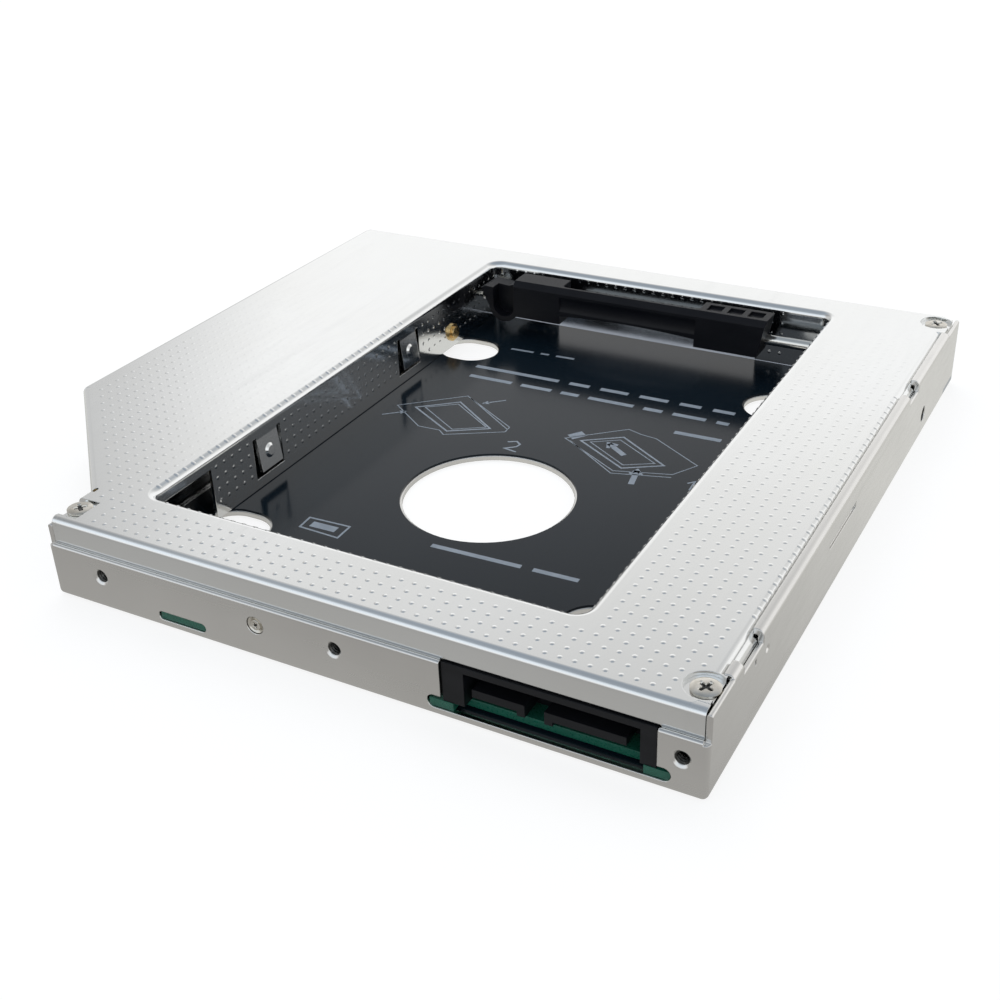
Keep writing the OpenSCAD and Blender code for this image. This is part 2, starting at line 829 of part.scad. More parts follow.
// lip drawn round the drive opening
module bay_rim() {
    grown = bay_corner_r;
    for (side = [0, 1]) {
        along([bay_y[0] + grown, bay_y[1] - grown])
            translate([fx(bay_x[side]) + (side == 0 ? 1 : -1) * bay_fold_r, 0])
                mirror([side == 0 ? 0 : 1, 0])
                    fold(bay_fold_r, cover_t, bay_lip, cover_top);
        across([bay_x[0] + grown, bay_x[1] - grown])
            translate([fy(bay_y[side]) + (side == 0 ? -1 : 1) * bay_fold_r, 0])
                mirror([side == 0 ? 1 : 0, 0])
                    fold(bay_fold_r, cover_t, bay_lip, cover_top);
        translate([fx(bay_x[0] + grown), fy(bay_y[side] + (side == 0 ? 1 : -1) * grown), 0])
            rotate([0, 0, side == 0 ? -90 : 0])
                rotate_extrude(angle = 90)
                    translate([grown + bay_fold_r, 0])
                        fold(bay_fold_r, cover_t, bay_lip, cover_top);
        translate([fx(bay_x[1] - grown), fy(bay_y[side] + (side == 0 ? 1 : -1) * grown), 0])
            rotate([0, 0, side == 0 ? 180 : 90])
                rotate_extrude(angle = 90)
                    translate([grown + bay_fold_r, 0])
                        fold(bay_fold_r, cover_t, bay_lip, cover_top);
    }
}

// long guide slot for one rod end
module guide_slot(d) {
    r = rod_r + guide_play;
    crosswise(rod_at[0], rod_at[1], r, d);
    crosswise(rod_at[0] + retainer_travel, rod_at[1], r, d);
    block(d, [rod_at[0], rod_at[0] + retainer_travel], [rod_at[1] - r, rod_at[1] + r]);
}

// window cut round one spring finger
module finger_window(e) {
    half = finger_w / 2 + finger_slot;
    r = finger_slot / 2;
    block([bay_x[1] - cut, bay_x[1] + cover_t + cut], [e - half, e + half],
        [finger_low, finger_top]);
    for (side = [-1, 1])
        crosswise(e + side * (half - r), finger_top, r, [bay_x[1] - cut, bay_x[1] + cover_t + cut]);
}

// one spring finger, leaning into the opening, with its boss
module finger(e) {
    reach = finger_top - finger_low - finger_slot;
    hold = cover_t / 2;
    translate([fx(bay_x[1]), fy(e), finger_top])
        rotate([0, -finger_lean, 0]) {
            translate([-cover_t, -finger_w / 2, -reach])
                cube([cover_t, finger_w, reach + hold]);
            translate([-cover_t / 2, 0, -reach / 2])
                rotate([0, 90, 0])
                    cylinder(r1 = finger_boss_r, r2 = finger_boss_r / 2,
                        h = cover_t / 2 + finger_boss_out);
        }
}

// inner walls that hang from the lip
module inner_walls() {
    far_face = bay_y[1] + cover_t;
    difference() {
        union() {
            block([bay_x[1], bay_x[1] + cover_t], [left_wall_start, far_face], [wall_foot, lip_z]);
            block([bay_x[0] - cover_t, bay_x[0]], [bay_y[0] + bay_corner_r, far_face],
                [wall_foot, lip_z]);
            block([bay_x[0] + wall_relief, bay_x[1] - wall_relief], [bay_y[1], far_face],
                [wall_foot, lip_z]);
        }
        for (e = finger_at)
            finger_window(e);
        guide_slot([bay_x[1] - cut, bay_x[1] + cover_t + cut]);
        guide_slot([bay_x[0] - cover_t - cut, bay_x[0] + cut]);
        block(window_x, [bay_y[1] - cut, far_face + cut], [0, window_top]);
        crosswise(stud_at[0], stud_at[1], stud_neck_r + seat_gap / 2,
            [bay_x[1] - cut, bay_x[1] + cover_t + cut]);
        crosswise(stud_at[0], stud_at[1], drive_hole_r,
            [bay_x[0] - cover_t - cut, bay_x[0] + cut]);
    }
    for (e = finger_at)
        finger(e);
}

// flat top of the cover with its opening and screw openings
module cover_plate() {
    difference() {
        union() {
            polygon([
                beside(near_left, out_near), beside(near_right, out_near),
                beside(near_right, out_right), beside(far_right, out_right),
                beside(far_right, out_far), beside(far_left, out_far),
                beside(far_left, out_wing), beside(wing_corner, out_wing),
                beside(wing_corner, out_diag),
                at(body_w - edge_r - lap / 2, diag_e(body_w - edge_r - lap / 2, edge_r + lap / 2)),
                beside(near_left, out_wing)
            ]);
            for (c = [near_left, near_right, far_right, far_left, wing_corner])
                translate(c)
                    circle(r = corner_step - lap / 2);
            translate(at(cover_right + edge_r + lap / 2, cover_near + edge_corner_r))
                square([cover_right + edge_r + lap / 2 - pad_edge,
                    plain_len - cover_near - edge_corner_r]);
            translate(at(cover_right + edge_r + lap / 2, far_d - plain_len))
                square([cover_right + edge_r + lap / 2 - pad_edge, plain_len - edge_corner_r]);
        }
        round_rect([bay_x[0] - bay_fold_r, bay_x[1] + bay_fold_r],
            [bay_y[0] - bay_fold_r, bay_y[1] + bay_fold_r], bay_corner_r + bay_fold_r);
        for (p = [screw_nr, screw_fr])
            translate(at(p[0], p[1]))
                circle(r = dish_r);
    }
}

// dished pad under one right hand screw
module dish(p) {
    translate([0, 0, pad_low])
        linear_extrude(height = cover_t)
            difference() {
                intersection() {
                    translate(at(p[0], p[1]))
                        circle(r = dish_r + dish_join);
                    translate(at(body_w / 2, cover_near + edge_r))
                        square([body_w / 2 - pad_edge, case_d - cover_near - 2 * edge_r]);
                }
                translate(at(p[0], p[1]))
                    circle(r = clear_r);
            }
}

// outer flanges of the cover
module cover_flanges() {
    wing_depth = cover_top - wing_z;
    far_run = body_w - cover_right - edge_corner_r;
    wing_run = case_w - edge_corner_r - body_w;
    diag_run = (case_w - edge_corner_r - body_w + edge_r) * sqrt(2) + lap / 2;
    // a fine relief slit parts the wing corner from the diagonal fold
    diag_start_at = [wing_corner[0] - seat_gap * sin(out_diag), wing_corner[1] + seat_gap * cos(out_diag)];
    flange_run(near_left, out_near, near_right[0] - near_left[0], cover_top - near_flange_z);
    flange_corner(near_right, out_near, 90, edge_r);
    flange_run([near_right[0], fy(plain_len)], out_right, far_d - 2 * plain_len,
        cover_top - right_flange_z);
    flange_corner(far_right, out_right, 90, edge_r);
    flange_run(far_right, out_far, far_run, cover_top - far_flange_z);
    flange_run([fx(body_w), far_left[1]], out_far, wing_run, wing_depth);
    flange_corner(far_left, out_far, 90, wing_depth);
    flange_run(far_left, out_wing, far_left[1] - wing_corner[1], wing_depth);
    flange_corner(wing_corner, out_wing, out_diag - out_wing, wing_depth);
    flange_run(diag_start_at, out_diag, diag_run - seat_gap, wing_depth);
    flange_run([near_left[0], fy(left_end_e)], out_wing, fy(left_end_e) - near_left[1], edge_r);
    flange_corner(near_left, out_wing, out_near - out_wing, edge_r);
}

module top_cover() {
    color("gainsboro") {
        difference() {
            union() {
                translate([0, 0, plate_low])
                    linear_extrude(height = cover_t)
                        cover_plate();
                cover_flanges();
                bay_rim();
            }
            // notch at the near left screw
            block([nl_notch_x, body_w + cut], nl_notch_y, [lip_z, case_h + cut]);
            // room for the plug
            block([plug_cut[0] - seat_gap, plug_cut[1] + seat_gap], [0, 2 * tray_t],
                [0, near_wall_h + seat_gap]);
        }
        inner_walls();
        dish(screw_nr);
        dish(screw_fr);
        difference() {
            block([nl_notch_x + seat_gap, body_w - edge_r],
                [cover_near + edge_r, nl_notch_y[1] - seat_gap], [pad_low, pad_top]);
            upright(screw_nl, clear_r, [pad_low - cut, pad_top + cut]);
        }
    }
}

module circuit_board() {
    color("darkgreen")
        translate([0, 0, board_z])
            linear_extrude(height = board_t)
                difference() {
                    union() {
                        translate(at(board_x[1], board_y[0]))
                            square([board_x[1] - board_x[0], board_y[1] - board_y[0]]);
                        translate(at(board_slot_b[1] - tab_play, tab_y))
                            square([board_slot_b[1] - board_slot_b[0] - 2 * tab_play,
                                board_y[1] - tab_y]);
                        translate(at(board_slot_a[1] - tab_play, tab_y))
                            square([board_slot_a[1] - board_slot_a[0] - 2 * tab_play,
                                board_y[1] - tab_y]);
                    }
                    translate(at(board_notch[1], 0))
                        square([board_notch[1] - board_notch[0], board_notch_y]);
                    for (d = board_screw_at)
                        translate(at(d, board_screw_y))
                            circle(r = clear_r);
                }
}

module slim_plug_housing() {
    color("dimgray") {
        difference() {
            block(plug_x, plug_y, [board_top, plug_top]);
            block([plug_x[0] + plug_post_r, plug_x[1] - plug_post_l], [0, plug_cavity_y],
                [0, plug_top - plug_rail]);
        }
        block(tongue_power, [tongue_y, plug_cavity_y], tongue_z);
        block(tongue_signal, [tongue_y, plug_cavity_y], tongue_z);
        block([tongue_power[0], tongue_power[0] + key_w], [tongue_y, plug_cavity_y],
            [tongue_z[0] - key_drop, tongue_z[0]]);
        block([tongue_signal[1] - key_w, tongue_signal[1]], [tongue_y, plug_cavity_y],
            [tongue_z[0] - key_drop, tongue_z[0]]);
    }
}

// row of flat contacts
module contact_row(first, n, pitch, w, e, z) {
    for (i = [0 : n - 1])
        block([first + i * pitch - w / 2, first + i * pitch + w / 2], e, z);
}

module slim_plug_contacts() {
    color("gold") {
        z = [tongue_z[0] - contact_t, tongue_z[0]];
        e = [plug_contact_y, plug_cavity_y];
        contact_row(tongue_signal[0] + plug_signal_in, signal_n, signal_pitch, plug_contact_w,
            e, z);
        contact_row(tongue_power[0] + plug_power_in, plug_power_n, power_pitch, plug_contact_w,
            e, z);
    }
}

module drive_socket_housing() {
    nose_x = [socket_x[0] + nose_step, socket_x[1] - nose_step];
    color("dimgray")
        difference() {
            union() {
                block(socket_x, socket_y, [board_top, socket_top]);
                block(nose_x, [socket_y[1], nose_y], nose_z);
            }
            block(blade_x, [blade_y, nose_y + cut], blade_z);
            block([blade_x[0], blade_x[0] + blade_key_w], [blade_y, nose_y + cut],
                [blade_z[0], blade_z[1] + blade_key_h]);
            block([blade_x[1] - blade_key_w, blade_x[1]], [blade_y, nose_y + cut],
                [blade_z[0], blade_z[1] + blade_key_h]);
        }
}

module drive_socket_signal_contacts() {
    color("gold")
        contact_row(socket_x[0] + signal_first_in, signal_n, socket_pitch, socket_contact_w,
            [blade_y, socket_contact_y], [blade_z[1] - 2 * contact_t, blade_z[1]]);
}

module drive_socket_power_contacts() {
    color("gold")
        contact_row(socket_x[0] + power_first_in, socket_power_n, socket_pitch,
            socket_contact_w, [blade_y, socket_contact_y],
            [blade_z[1] - 2 * contact_t, blade_z[1]]);
}

module board_capacitors() {
    color("tan")
        for (d = cap_x)
            for (e = cap_y)
                block([d - cap_size[0] / 2, d + cap_size[0] / 2],
                    [e - cap_size[1] / 2, e + cap_size[1] / 2],
                    [board_top, board_top + cap_size[2]]);
}

module board_regulator() {
    color("black")
        block([chip_at[0] - chip_size[0] / 2, chip_at[0] + chip_size[0] / 2],
            [chip_at[1] - chip_size[1] / 2, chip_at[1] + chip_size[1] / 2],
            [board_top, board_top + chip_size[2]]);
}

module board_standoffs() {
    color("goldenrod")
        for (d = board_screw_at)
            difference() {
                union() {
                    upright([d, board_screw_y], standoff_neck_r - seat_gap / 2, [0, tray_t]);
                    upright([d, board_screw_y], standoff_r, [tray_t, board_z]);
                }
                upright([d, board_screw_y], bore_r, [-cut, board_z + cut]);
            }
}

module board_screws() {
    color("lightgray")
        for (d = board_screw_at) {
            upright([d, board_screw_y], shank_r, [seat_gap, board_top]);
            upright([d, board_screw_y], board_head_r, [board_top, board_top + board_head_h]);
        }
}

module near_left_post() {
    color("goldenrod")
        difference() {
            block(post_nl_x, [screw_nl[1] - post_nl_len / 2, screw_nl[1] + post_nl_len / 2],
                [tray_t, pad_low]);
            upright(screw_nl, bore_r, [pad_low - shank_len, pad_low + cut]);
        }
}

// round tapped post under one screw
module post(p, r) {
    color("goldenrod")
        difference() {
            upright(p, r, [tray_t, pad_low]);
            upright(p, bore_r, [pad_low - shank_len, pad_low + cut]);
        }
}

module near_right_post() {
    post(screw_nr, post_nr_r);
}

module far_right_post() {
    post(screw_fr, post_fr_r);
}

// cover screw with a flat round head
module cover_screw(p) {
    color("lightgray") {
        upright(p, shank_r, [pad_top - shank_len, pad_top]);
        upright(p, head_r, [pad_top, pad_top + head_h]);
    }
}

module near_left_screw() {
    cover_screw(screw_nl);
}

module near_right_screw() {
    cover_screw(screw_nr);
}

module far_right_screw() {
    cover_screw(screw_fr);
}

module wall_nut() {
    color("goldenrod")
        difference() {
            block([wall_screw_at - nut_size[0] / 2, wall_screw_at + nut_size[0] / 2],
                [tray_t, tray_t + nut_size[1]],
                [near_flange_z - seat_gap - nut_size[2], near_flange_z - seat_gap]);
            lengthwise(wall_screw_at, wall_hole_z, bore_r, [0, tray_t + nut_size[1] + cut]);
        }
}

module wall_screw() {
    color("lightgray") {
        lengthwise(wall_screw_at, wall_hole_z, wall_head_r, [wall_seat - wall_head_h, wall_seat]);
        lengthwise(wall_screw_at, wall_hole_z, shank_r,
            [wall_seat - wall_head_h / 2, tray_t + nut_size[1]]);
    }
}

module locating_stud() {
    face = bay_x[1];
    color("gold") {
        crosswise(stud_at[0], stud_at[1], stud_nose_r, [face - stud_out, face]);
        crosswise(stud_at[0], stud_at[1], stud_rim_r, [face - stud_rim_t, face]);
        crosswise(stud_at[0], stud_at[1], stud_neck_r, [face, face + cover_t]);
        crosswise(stud_at[0], stud_at[1], stud_tail_r,
            [face + cover_t, face + cover_t + stud_tail_t]);
    }
}

// side section of the blocks: chamfer along the top front edge
module bar_section(low) {
    polygon([
        [fy(bar_y[0]), low],
        [fy(bar_y[0]), bar_top - bar_chamfer],
        [fy(bar_y[0] + bar_chamfer), bar_top],
        [fy(bar_y[1]), bar_top],
        [fy(bar_y[1]), low]
    ]);
}

// thin web between the blocks, arched underneath and hollowed in front
module web() {
    span = [block_r_top[1], block_l[0]];
    half = (span[1] - span[0]) / 2;
    arch_r = (half * half + web_arch * web_arch) / (2 * web_arch);
    groove_half = web_groove_h / 2;
    groove_r = (groove_half * groove_half + web_groove * web_groove) / (2 * web_groove);
    join = bar_chamfer;
    difference() {
        intersection() {
            across([span[0] - join, span[1] + join])
                bar_section(web_end_z - web_arch);
            block([span[0] - join, span[1] + join], [bar_y[0], bar_y[0] + web_t],
                [web_end_z, bar_top]);
        }
        along([bar_y[0] - cut, bar_y[0] + web_t + cut])
            translate([fx(span[0] + half), web_end_z + web_arch - arch_r])
                circle(r = arch_r, $fn = arch_steps);
        crosswise(bar_y[0] + web_groove - groove_r, web_groove_z, groove_r, span);
    }
}

// upright fillet where the web meets a block
module web_corner(d, turn) {
    r = web_fillet;
    translate([fx(d), fy(bar_y[0] + web_t), web_end_z])
        linear_extrude(height = bar_top - web_end_z)
            mirror([turn, 0])
                difference() {
                    square(r);
                    translate([r, r])
                        circle(r = r);
                }
}

// finger trough at the left end of the bar
module trough() {
    c = [fx(trough_at[0]), trough_at[1]];
    outer = trough_r + trough_wall;
    side = outer * sqrt(2) / 2;
    difference() {
        along(bar_y) {
            translate(c)
                circle(r = outer);
            polygon([
                [fx(block_l[1]), trough_at[1] - outer / 2],
                [fx(block_l[1] - 1), bar_top - bar_chamfer],
                [fx(trough_at[0]), bar_top - 2 * bar_chamfer],
                [fx(trough_arm[0] - 1), trough_arm[1] + bar_chamfer / 2],
                [fx(trough_arm[0]), trough_arm[1]],
                [c[0] - side, c[1] - side]
            ]);
        }
        along([bar_y[0] - cut, trough_back]) {
            translate(c)
                circle(r = trough_r);
            translate([c[0] - trough_r, c[1]])
                square([2 * trough_r, case_h]);
        }
        along([bar_y[0] - cut, bar_y[1] + cut])
            translate([fx(trough_arm[0]), trough_arm[1] + bar_chamfer / 2])
                square([trough_arm[0] - block_l[1], case_h]);
    }
}

module retainer_bar() {
    color("black")
        difference() {
            union() {
                intersection() {
                    along(bar_y)
                        polygon([
                            [fx(block_r_top[0]), bar_top],
                            [fx(block_r_top[1]), bar_top],
                            [fx(block_r_low[1]), block_r_z],
                            [fx(block_r_low[0]), block_r_z]
                        ]);
                    across([block_r_top[0], block_r_low[1]])
                        bar_section(block_r_z);
                }
                across(block_l)
                    bar_section(block_l_z);
                web();
                web_corner(block_r_top[1], 1);
                web_corner(block_l[0], 0);
                trough();
            }
            crosswise(rod_at[0], rod_at[1], rod_r + rod_play, rod_x);
            for (d = pocket_at)
                block([d - pocket_size[0] / 2, d + pocket_size[0] / 2],
                    [pocket_y - pocket_size[1] / 2, pocket_y + pocket_size[1] / 2],
                    [bar_top - pocket_size[2], bar_top + cut]);
        }
}

module retainer_rod() {
    color("gray")
        crosswise(rod_at[0], rod_at[1], rod_r, rod_x);
}

bottom_tray();
floor_film();
top_cover();
circuit_board();
slim_plug_housing();
slim_plug_contacts();
drive_socket_housing();
drive_socket_signal_contacts();
drive_socket_power_contacts();
board_capacitors();
board_regulator();
board_standoffs();
board_screws();
near_left_post();
near_right_post();
far_right_post();
near_left_screw();
near_right_screw();
far_right_screw();
wall_nut();
wall_screw();
locating_stud();
retainer_bar();
retainer_rod();
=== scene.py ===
# Looks of a laptop drive caddy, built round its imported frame. Metres, in the frame's own axes.
import math
import bpy
import numpy as np
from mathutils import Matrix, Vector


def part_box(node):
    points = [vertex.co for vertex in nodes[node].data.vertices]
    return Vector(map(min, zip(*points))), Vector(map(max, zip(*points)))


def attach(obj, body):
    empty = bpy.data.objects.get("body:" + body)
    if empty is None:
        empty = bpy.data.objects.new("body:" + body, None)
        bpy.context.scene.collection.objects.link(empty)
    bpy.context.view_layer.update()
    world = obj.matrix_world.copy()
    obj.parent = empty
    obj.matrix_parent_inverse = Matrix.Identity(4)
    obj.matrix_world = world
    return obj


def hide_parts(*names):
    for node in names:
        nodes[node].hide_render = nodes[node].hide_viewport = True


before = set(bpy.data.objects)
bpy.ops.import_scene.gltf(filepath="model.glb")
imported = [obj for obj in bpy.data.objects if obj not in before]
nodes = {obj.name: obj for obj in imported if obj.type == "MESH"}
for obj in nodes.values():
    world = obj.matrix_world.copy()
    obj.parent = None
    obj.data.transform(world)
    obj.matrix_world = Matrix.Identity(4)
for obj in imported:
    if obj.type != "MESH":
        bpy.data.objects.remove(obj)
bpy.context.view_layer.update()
mm = 0.001

trayLow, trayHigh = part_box("bottom_tray")
coverLow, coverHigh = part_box("top_cover")
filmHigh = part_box("floor_film")[1]
print("frame loaded:", len(nodes), "nodes")


def spot(fromRight, fromNear, height):
    # (x, y, z) = (right wall - a, near wall + b, floor + c), from millimetres
    return np.stack(np.broadcast_arrays(trayHigh.x - np.asarray(fromRight) * mm,
                                        trayLow.y + np.asarray(fromNear) * mm,
                                        trayLow.z + np.asarray(height) * mm), -1).astype(float)


# surfaces

def gridFaces(rows, cols, wrapRows=False, wrapCols=True):
    # quads (i, j) (i, j+1) (i+1, j+1) (i+1, j), counted round where a way is closed
    i, j = np.meshgrid(np.arange(rows if wrapRows else rows - 1),
                       np.arange(cols if wrapCols else cols - 1), indexing="ij")
    up, on = (i + 1) % rows, (j + 1) % cols
    return np.stack([i * cols + j, i * cols + on, up * cols + on, up * cols + j], -1).reshape(-1, 4)


def joinShapes(shapes):
    # stacks (points, faces) pairs into one pair
    points, faces, start = [], [], 0
    for p, f in shapes:
        points.append(p.reshape(-1, 3))
        faces.extend((np.asarray(face) + start).tolist() for face in f)
        start += len(points[-1])
    return np.concatenate(points), faces


def tubeShape(rings):
    # rings (n, m, 3) joined into a skin, first and last ring closed by one face each
    n, m = rings.shape[:2]
    faces = gridFaces(n, m).tolist()
    faces.append(list(range(m))[::-1])
    faces.append(list(range((n - 1) * m, n * m)))
    return rings.reshape(-1, 3), faces


def makePiece(name, shape, material, body="case", smooth=True, sharpAngle=None):
    points, faces = shape
    mesh = bpy.data.meshes.new(name)
    mesh.from_pydata(np.asarray(points).reshape(-1, 3).tolist(), [],
                     [list(map(int, face)) for face in faces])
    mesh.validate()
    mesh.polygons.foreach_set("use_smooth", np.full(len(mesh.polygons), smooth))
    if sharpAngle is not None:
        mesh.set_sharp_from_angle(angle=math.radians(sharpAngle))
    mesh.materials.append(material)
    piece = bpy.data.objects.new(name, mesh)
    bpy.context.scene.collection.objects.link(piece)
    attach(piece, body)
    return piece


# materials

def startMaterial(name):
    material = bpy.data.materials.new(name)
    material.use_nodes = True
    tree = material.node_tree
    shader = tree.nodes["Principled BSDF"]
    place = tree.nodes.new("ShaderNodeTexCoord")
    return material, tree, shader, place.outputs["Object"]


def noiseOf(tree, place, scale, detail=3.0, stretch=None, roughness=0.5):
    if stretch is not None:
        turned = tree.nodes.new("ShaderNodeMapping")
        turned.inputs["Scale"].default_value = stretch
        tree.links.new(place, turned.inputs["Vector"])
        place = turned.outputs["Vector"]
    noise = tree.nodes.new("ShaderNodeTexNoise")
    noise.inputs["Scale"].default_value = scale
    noise.inputs["Detail"].default_value = detail
    noise.inputs["Roughness"].default_value = roughness
    tree.links.new(place, noise.inputs["Vector"])
    return noise.outputs["Fac"]


def between(tree, source, low, high, fromLow=0.3, fromHigh=0.7):
    ranged = tree.nodes.new("ShaderNodeMapRange")
    ranged.inputs["From Min"].default_value = fromLow
    ranged.inputs["From Max"].default_value = fromHigh
    ranged.inputs["To Min"].default_value = low
    ranged.inputs["To Max"].default_value = high
    tree.links.new(source, ranged.inputs["Value"])
    return ranged.outputs["Result"]


def mixTones(tree, factor, first, second):
    mix = tree.nodes.new("ShaderNodeMix")
    mix.data_type = "RGBA"
    mix.inputs["A"].default_value = (*first, 1)
    mix.inputs["B"].default_value = (*second, 1)
    tree.links.new(factor, mix.inputs["Factor"])
    return mix.outputs["Result"]


def bumpFrom(tree, height, strength, depth, before=None):
    bump = tree.nodes.new("ShaderNodeBump")
    bump.inputs["Strength"].default_value = strength
    bump.inputs["Distance"].default_value = depth
    tree.links.new(height, bump.inputs["Height"])
    if before is not None:
        tree.links.new(before, bump.inputs["Normal"])
    return bump.outputs["Normal"]


def roundedEdge(tree, radius, samples=6):
    bevel = tree.nodes.new("ShaderNodeBevel")
    bevel.samples = samples
    bevel.inputs["Radius"].default_value = radius
    return bevel.outputs["Normal"]


def insideOf(tree, place, low, high):
    # 1 inside the box low..high (metres, y and z only), 0 outside, product of four clamped ramps
    split = tree.nodes.new("ShaderNodeSeparateXYZ")
    tree.links.new(place, split.inputs["Vector"])
    result = None
    for axis, first, last in (("Y", low[0], high[0]), ("Z", low[1], high[1])):
        for start, end in ((first, first + softEdge), (last, last - softEdge)):
            ramp = between(tree, split.outputs[axis], 0.0, 1.0, start, end)
            if result is None:
                result = ramp
                continue
            product = tree.nodes.new("ShaderNodeMath")
            product.operation = "MULTIPLY"
            tree.links.new(result, product.inputs[0])
            tree.links.new(ramp, product.inputs[1])
            result = product.outputs["Value"]
    return result


def sheetMetal(name, look):
    # rolled sheet: cloudy tone, soft waves from pressing, fine rolling grain, rubbed edges, and painted shade
    # multiplied into the tone inside one box
    material, tree, shader, place = startMaterial(name)
    clouds = noiseOf(tree, place, look["cloudScale"], 4.0)
    tone = mixTones(tree, between(tree, clouds, 0, 1), look["tone"], look["toneWorn"])
    # painted shade: inside one box of y and z the tone is multiplied by a darker tone
    paintedShade = insideOf(tree, place, look["paintedShadeLow"], look["paintedShadeHigh"])
    paintedShading = tree.nodes.new("ShaderNodeMix")
    paintedShading.data_type = "RGBA"
    paintedShading.blend_type = "MULTIPLY"
    paintedShading.inputs["B"].default_value = (*look["paintedShadeTone"], 1)
    tree.links.new(paintedShade, paintedShading.inputs["Factor"])
    tree.links.new(tone, paintedShading.inputs["A"])
    tree.links.new(paintedShading.outputs["Result"], shader.inputs["Base Color"])
    shader.inputs["Metallic"].default_value = 1.0
    grain = noiseOf(tree, place, look["grainScale"], 2.0, look["grainStretch"])
    scuffs = noiseOf(tree, place, look["scuffScale"], 3.0, look["scuffStretch"])
    rough = tree.nodes.new("ShaderNodeMath")
    tree.links.new(between(tree, grain, look["roughLow"], look["roughHigh"]), rough.inputs[0])
    tree.links.new(between(tree, scuffs, 0.0, look["scuffRough"], 0.58, 0.72), rough.inputs[1])
    tree.links.new(rough.outputs["Value"], shader.inputs["Roughness"])
    waves = noiseOf(tree, place, look["waveScale"], 1.0)
    normal = roundedEdge(tree, look["edge"], look["edgeSamples"]) if look["edge"] else None
    normal = bumpFrom(tree, waves, look["waveStrength"], look["waveDepth"], normal)
    normal = bumpFrom(tree, grain, look["grainStrength"], look["grainDepth"], normal)
    tree.links.new(normal, shader.inputs["Normal"])
    return material


def mouldedPlastic(name, look):
    # moulded plastic: fine spark-eroded grain, slight flow marks that shift the tone towards a second one
    material, tree, shader, place = startMaterial(name)
    flow = noiseOf(tree, place, look["flowScale"], 3.0, (1, 1, 2.5))
    tree.links.new(mixTones(tree, between(tree, flow, 0, 1), look["tone"], look["toneWorn"]),
                   shader.inputs["Base Color"])
    grain = noiseOf(tree, place, look["grainScale"], 2.0)
    tree.links.new(between(tree, grain, look["roughLow"], look["roughHigh"]), shader.inputs["Roughness"])
    shader.inputs["Specular IOR Level"].default_value = look.get("gloss", 0.5)
    normal = bumpFrom(tree, grain, look["grainStrength"], look["grainDepth"], roundedEdge(tree, look["edge"]))
    tree.links.new(normal, shader.inputs["Normal"])
    return material


def turnedMetal(name, look):
    # turned or plated metal: tool lines along one way, a few darker stains
    material, tree, shader, place = startMaterial(name)
    stain = noiseOf(tree, place, look["stainScale"], 3.0)
    tree.links.new(mixTones(tree, between(tree, stain, 0, 1), look["tone"], look["toneWorn"]),
                   shader.inputs["Base Color"])
    shader.inputs["Metallic"].default_value = 1.0
    lines = noiseOf(tree, place, look["lineScale"], 2.0, look["lineStretch"])
    tree.links.new(between(tree, lines, look["roughLow"], look["roughHigh"]), shader.inputs["Roughness"])
    normal = bumpFrom(tree, lines, look["lineStrength"], look["lineDepth"], roundedEdge(tree, look["edge"]))
    tree.links.new(normal, shader.inputs["Normal"])
    return material


softEdge = 0.00005
coverLook = {
    # painted shade: the far inner wall of the bay, up to just under its top, is darkened to a blue-grey
    "paintedShadeLow": (0.05517, 0.0005), "paintedShadeHigh": (0.0561, 0.0114), "paintedShadeTone": (0.14, 0.16, 0.19),
    "scuffScale": 220.0, "scuffStretch": (1.0, 0.05, 1.0), "scuffRough": 0.07,
    "tone": (0.83, 0.84, 0.84), "toneWorn": (0.80, 0.805, 0.795), "cloudScale": 26.0,
    "grainScale": 1400.0, "grainStretch": (1.0, 0.12, 1.0), "grainStrength": 0.05, "grainDepth": 0.00001,
    "roughLow": 0.11, "roughHigh": 0.17, "waveScale": 22.0, "waveStrength": 0.07, "waveDepth": 0.0004,
    "edge": 0.00012, "edgeSamples": 6,
}
dimpleLook = {**coverLook, "edge": 0}
trayLook = {
    # painted shade: the tray floor strip behind the far inner wall is darkened and tinted blue
    "paintedShadeLow": (0.0552, 0.0004), "paintedShadeHigh": (0.0622, 0.0016), "paintedShadeTone": (0.38, 0.43, 0.52),
    "scuffScale": 260.0, "scuffStretch": (0.08, 0.08, 1.0), "scuffRough": 0.1,
    "tone": (0.75, 0.74, 0.72), "toneWorn": (0.69, 0.68, 0.66), "cloudScale": 45.0,
    "grainScale": 1300.0, "grainStretch": (0.12, 0.12, 1.0), "grainStrength": 0.05, "grainDepth": 0.00001,
    "roughLow": 0.17, "roughHigh": 0.25, "waveScale": 40.0, "waveStrength": 0.1, "waveDepth": 0.0003,
    "edge": 0.00028, "edgeSamples": 12,
}
filmLook = {
    "tone": (0.0050, 0.0105, 0.0165), "toneWorn": (0.0060, 0.0120, 0.0185), "flowScale": 60.0,
    "grainScale": 5200.0, "grainStrength": 0.06, "grainDepth": 0.000005,
    "roughLow": 0.13, "roughHigh": 0.19, "edge": 0.00004, "gloss": 0.22,
}
printLook = {
    "tone": (0.30, 0.345, 0.40), "toneWorn": (0.24, 0.28, 0.33), "flowScale": 500.0,
    "grainScale": 6000.0, "grainStrength": 0.15, "grainDepth": 0.000004,
    "roughLow": 0.38, "roughHigh": 0.5, "edge": 0.00002,
}
boardLook = {
    "tone": (0.008, 0.085, 0.055), "toneWorn": (0.012, 0.11, 0.072), "flowScale": 900.0,
    "grainScale": 3500.0, "grainStrength": 0.2, "grainDepth": 0.00001,
    "roughLow": 0.24, "roughHigh": 0.36, "edge": 0.00005,
}
connectorLook = {
    "tone": (0.0055, 0.006, 0.0075), "toneWorn": (0.0085, 0.009, 0.011), "flowScale": 250.0,
    "grainScale": 6500.0, "grainStrength": 0.3, "grainDepth": 0.00001,
    "roughLow": 0.34, "roughHigh": 0.46, "edge": 0.00008, "gloss": 0.25,
}
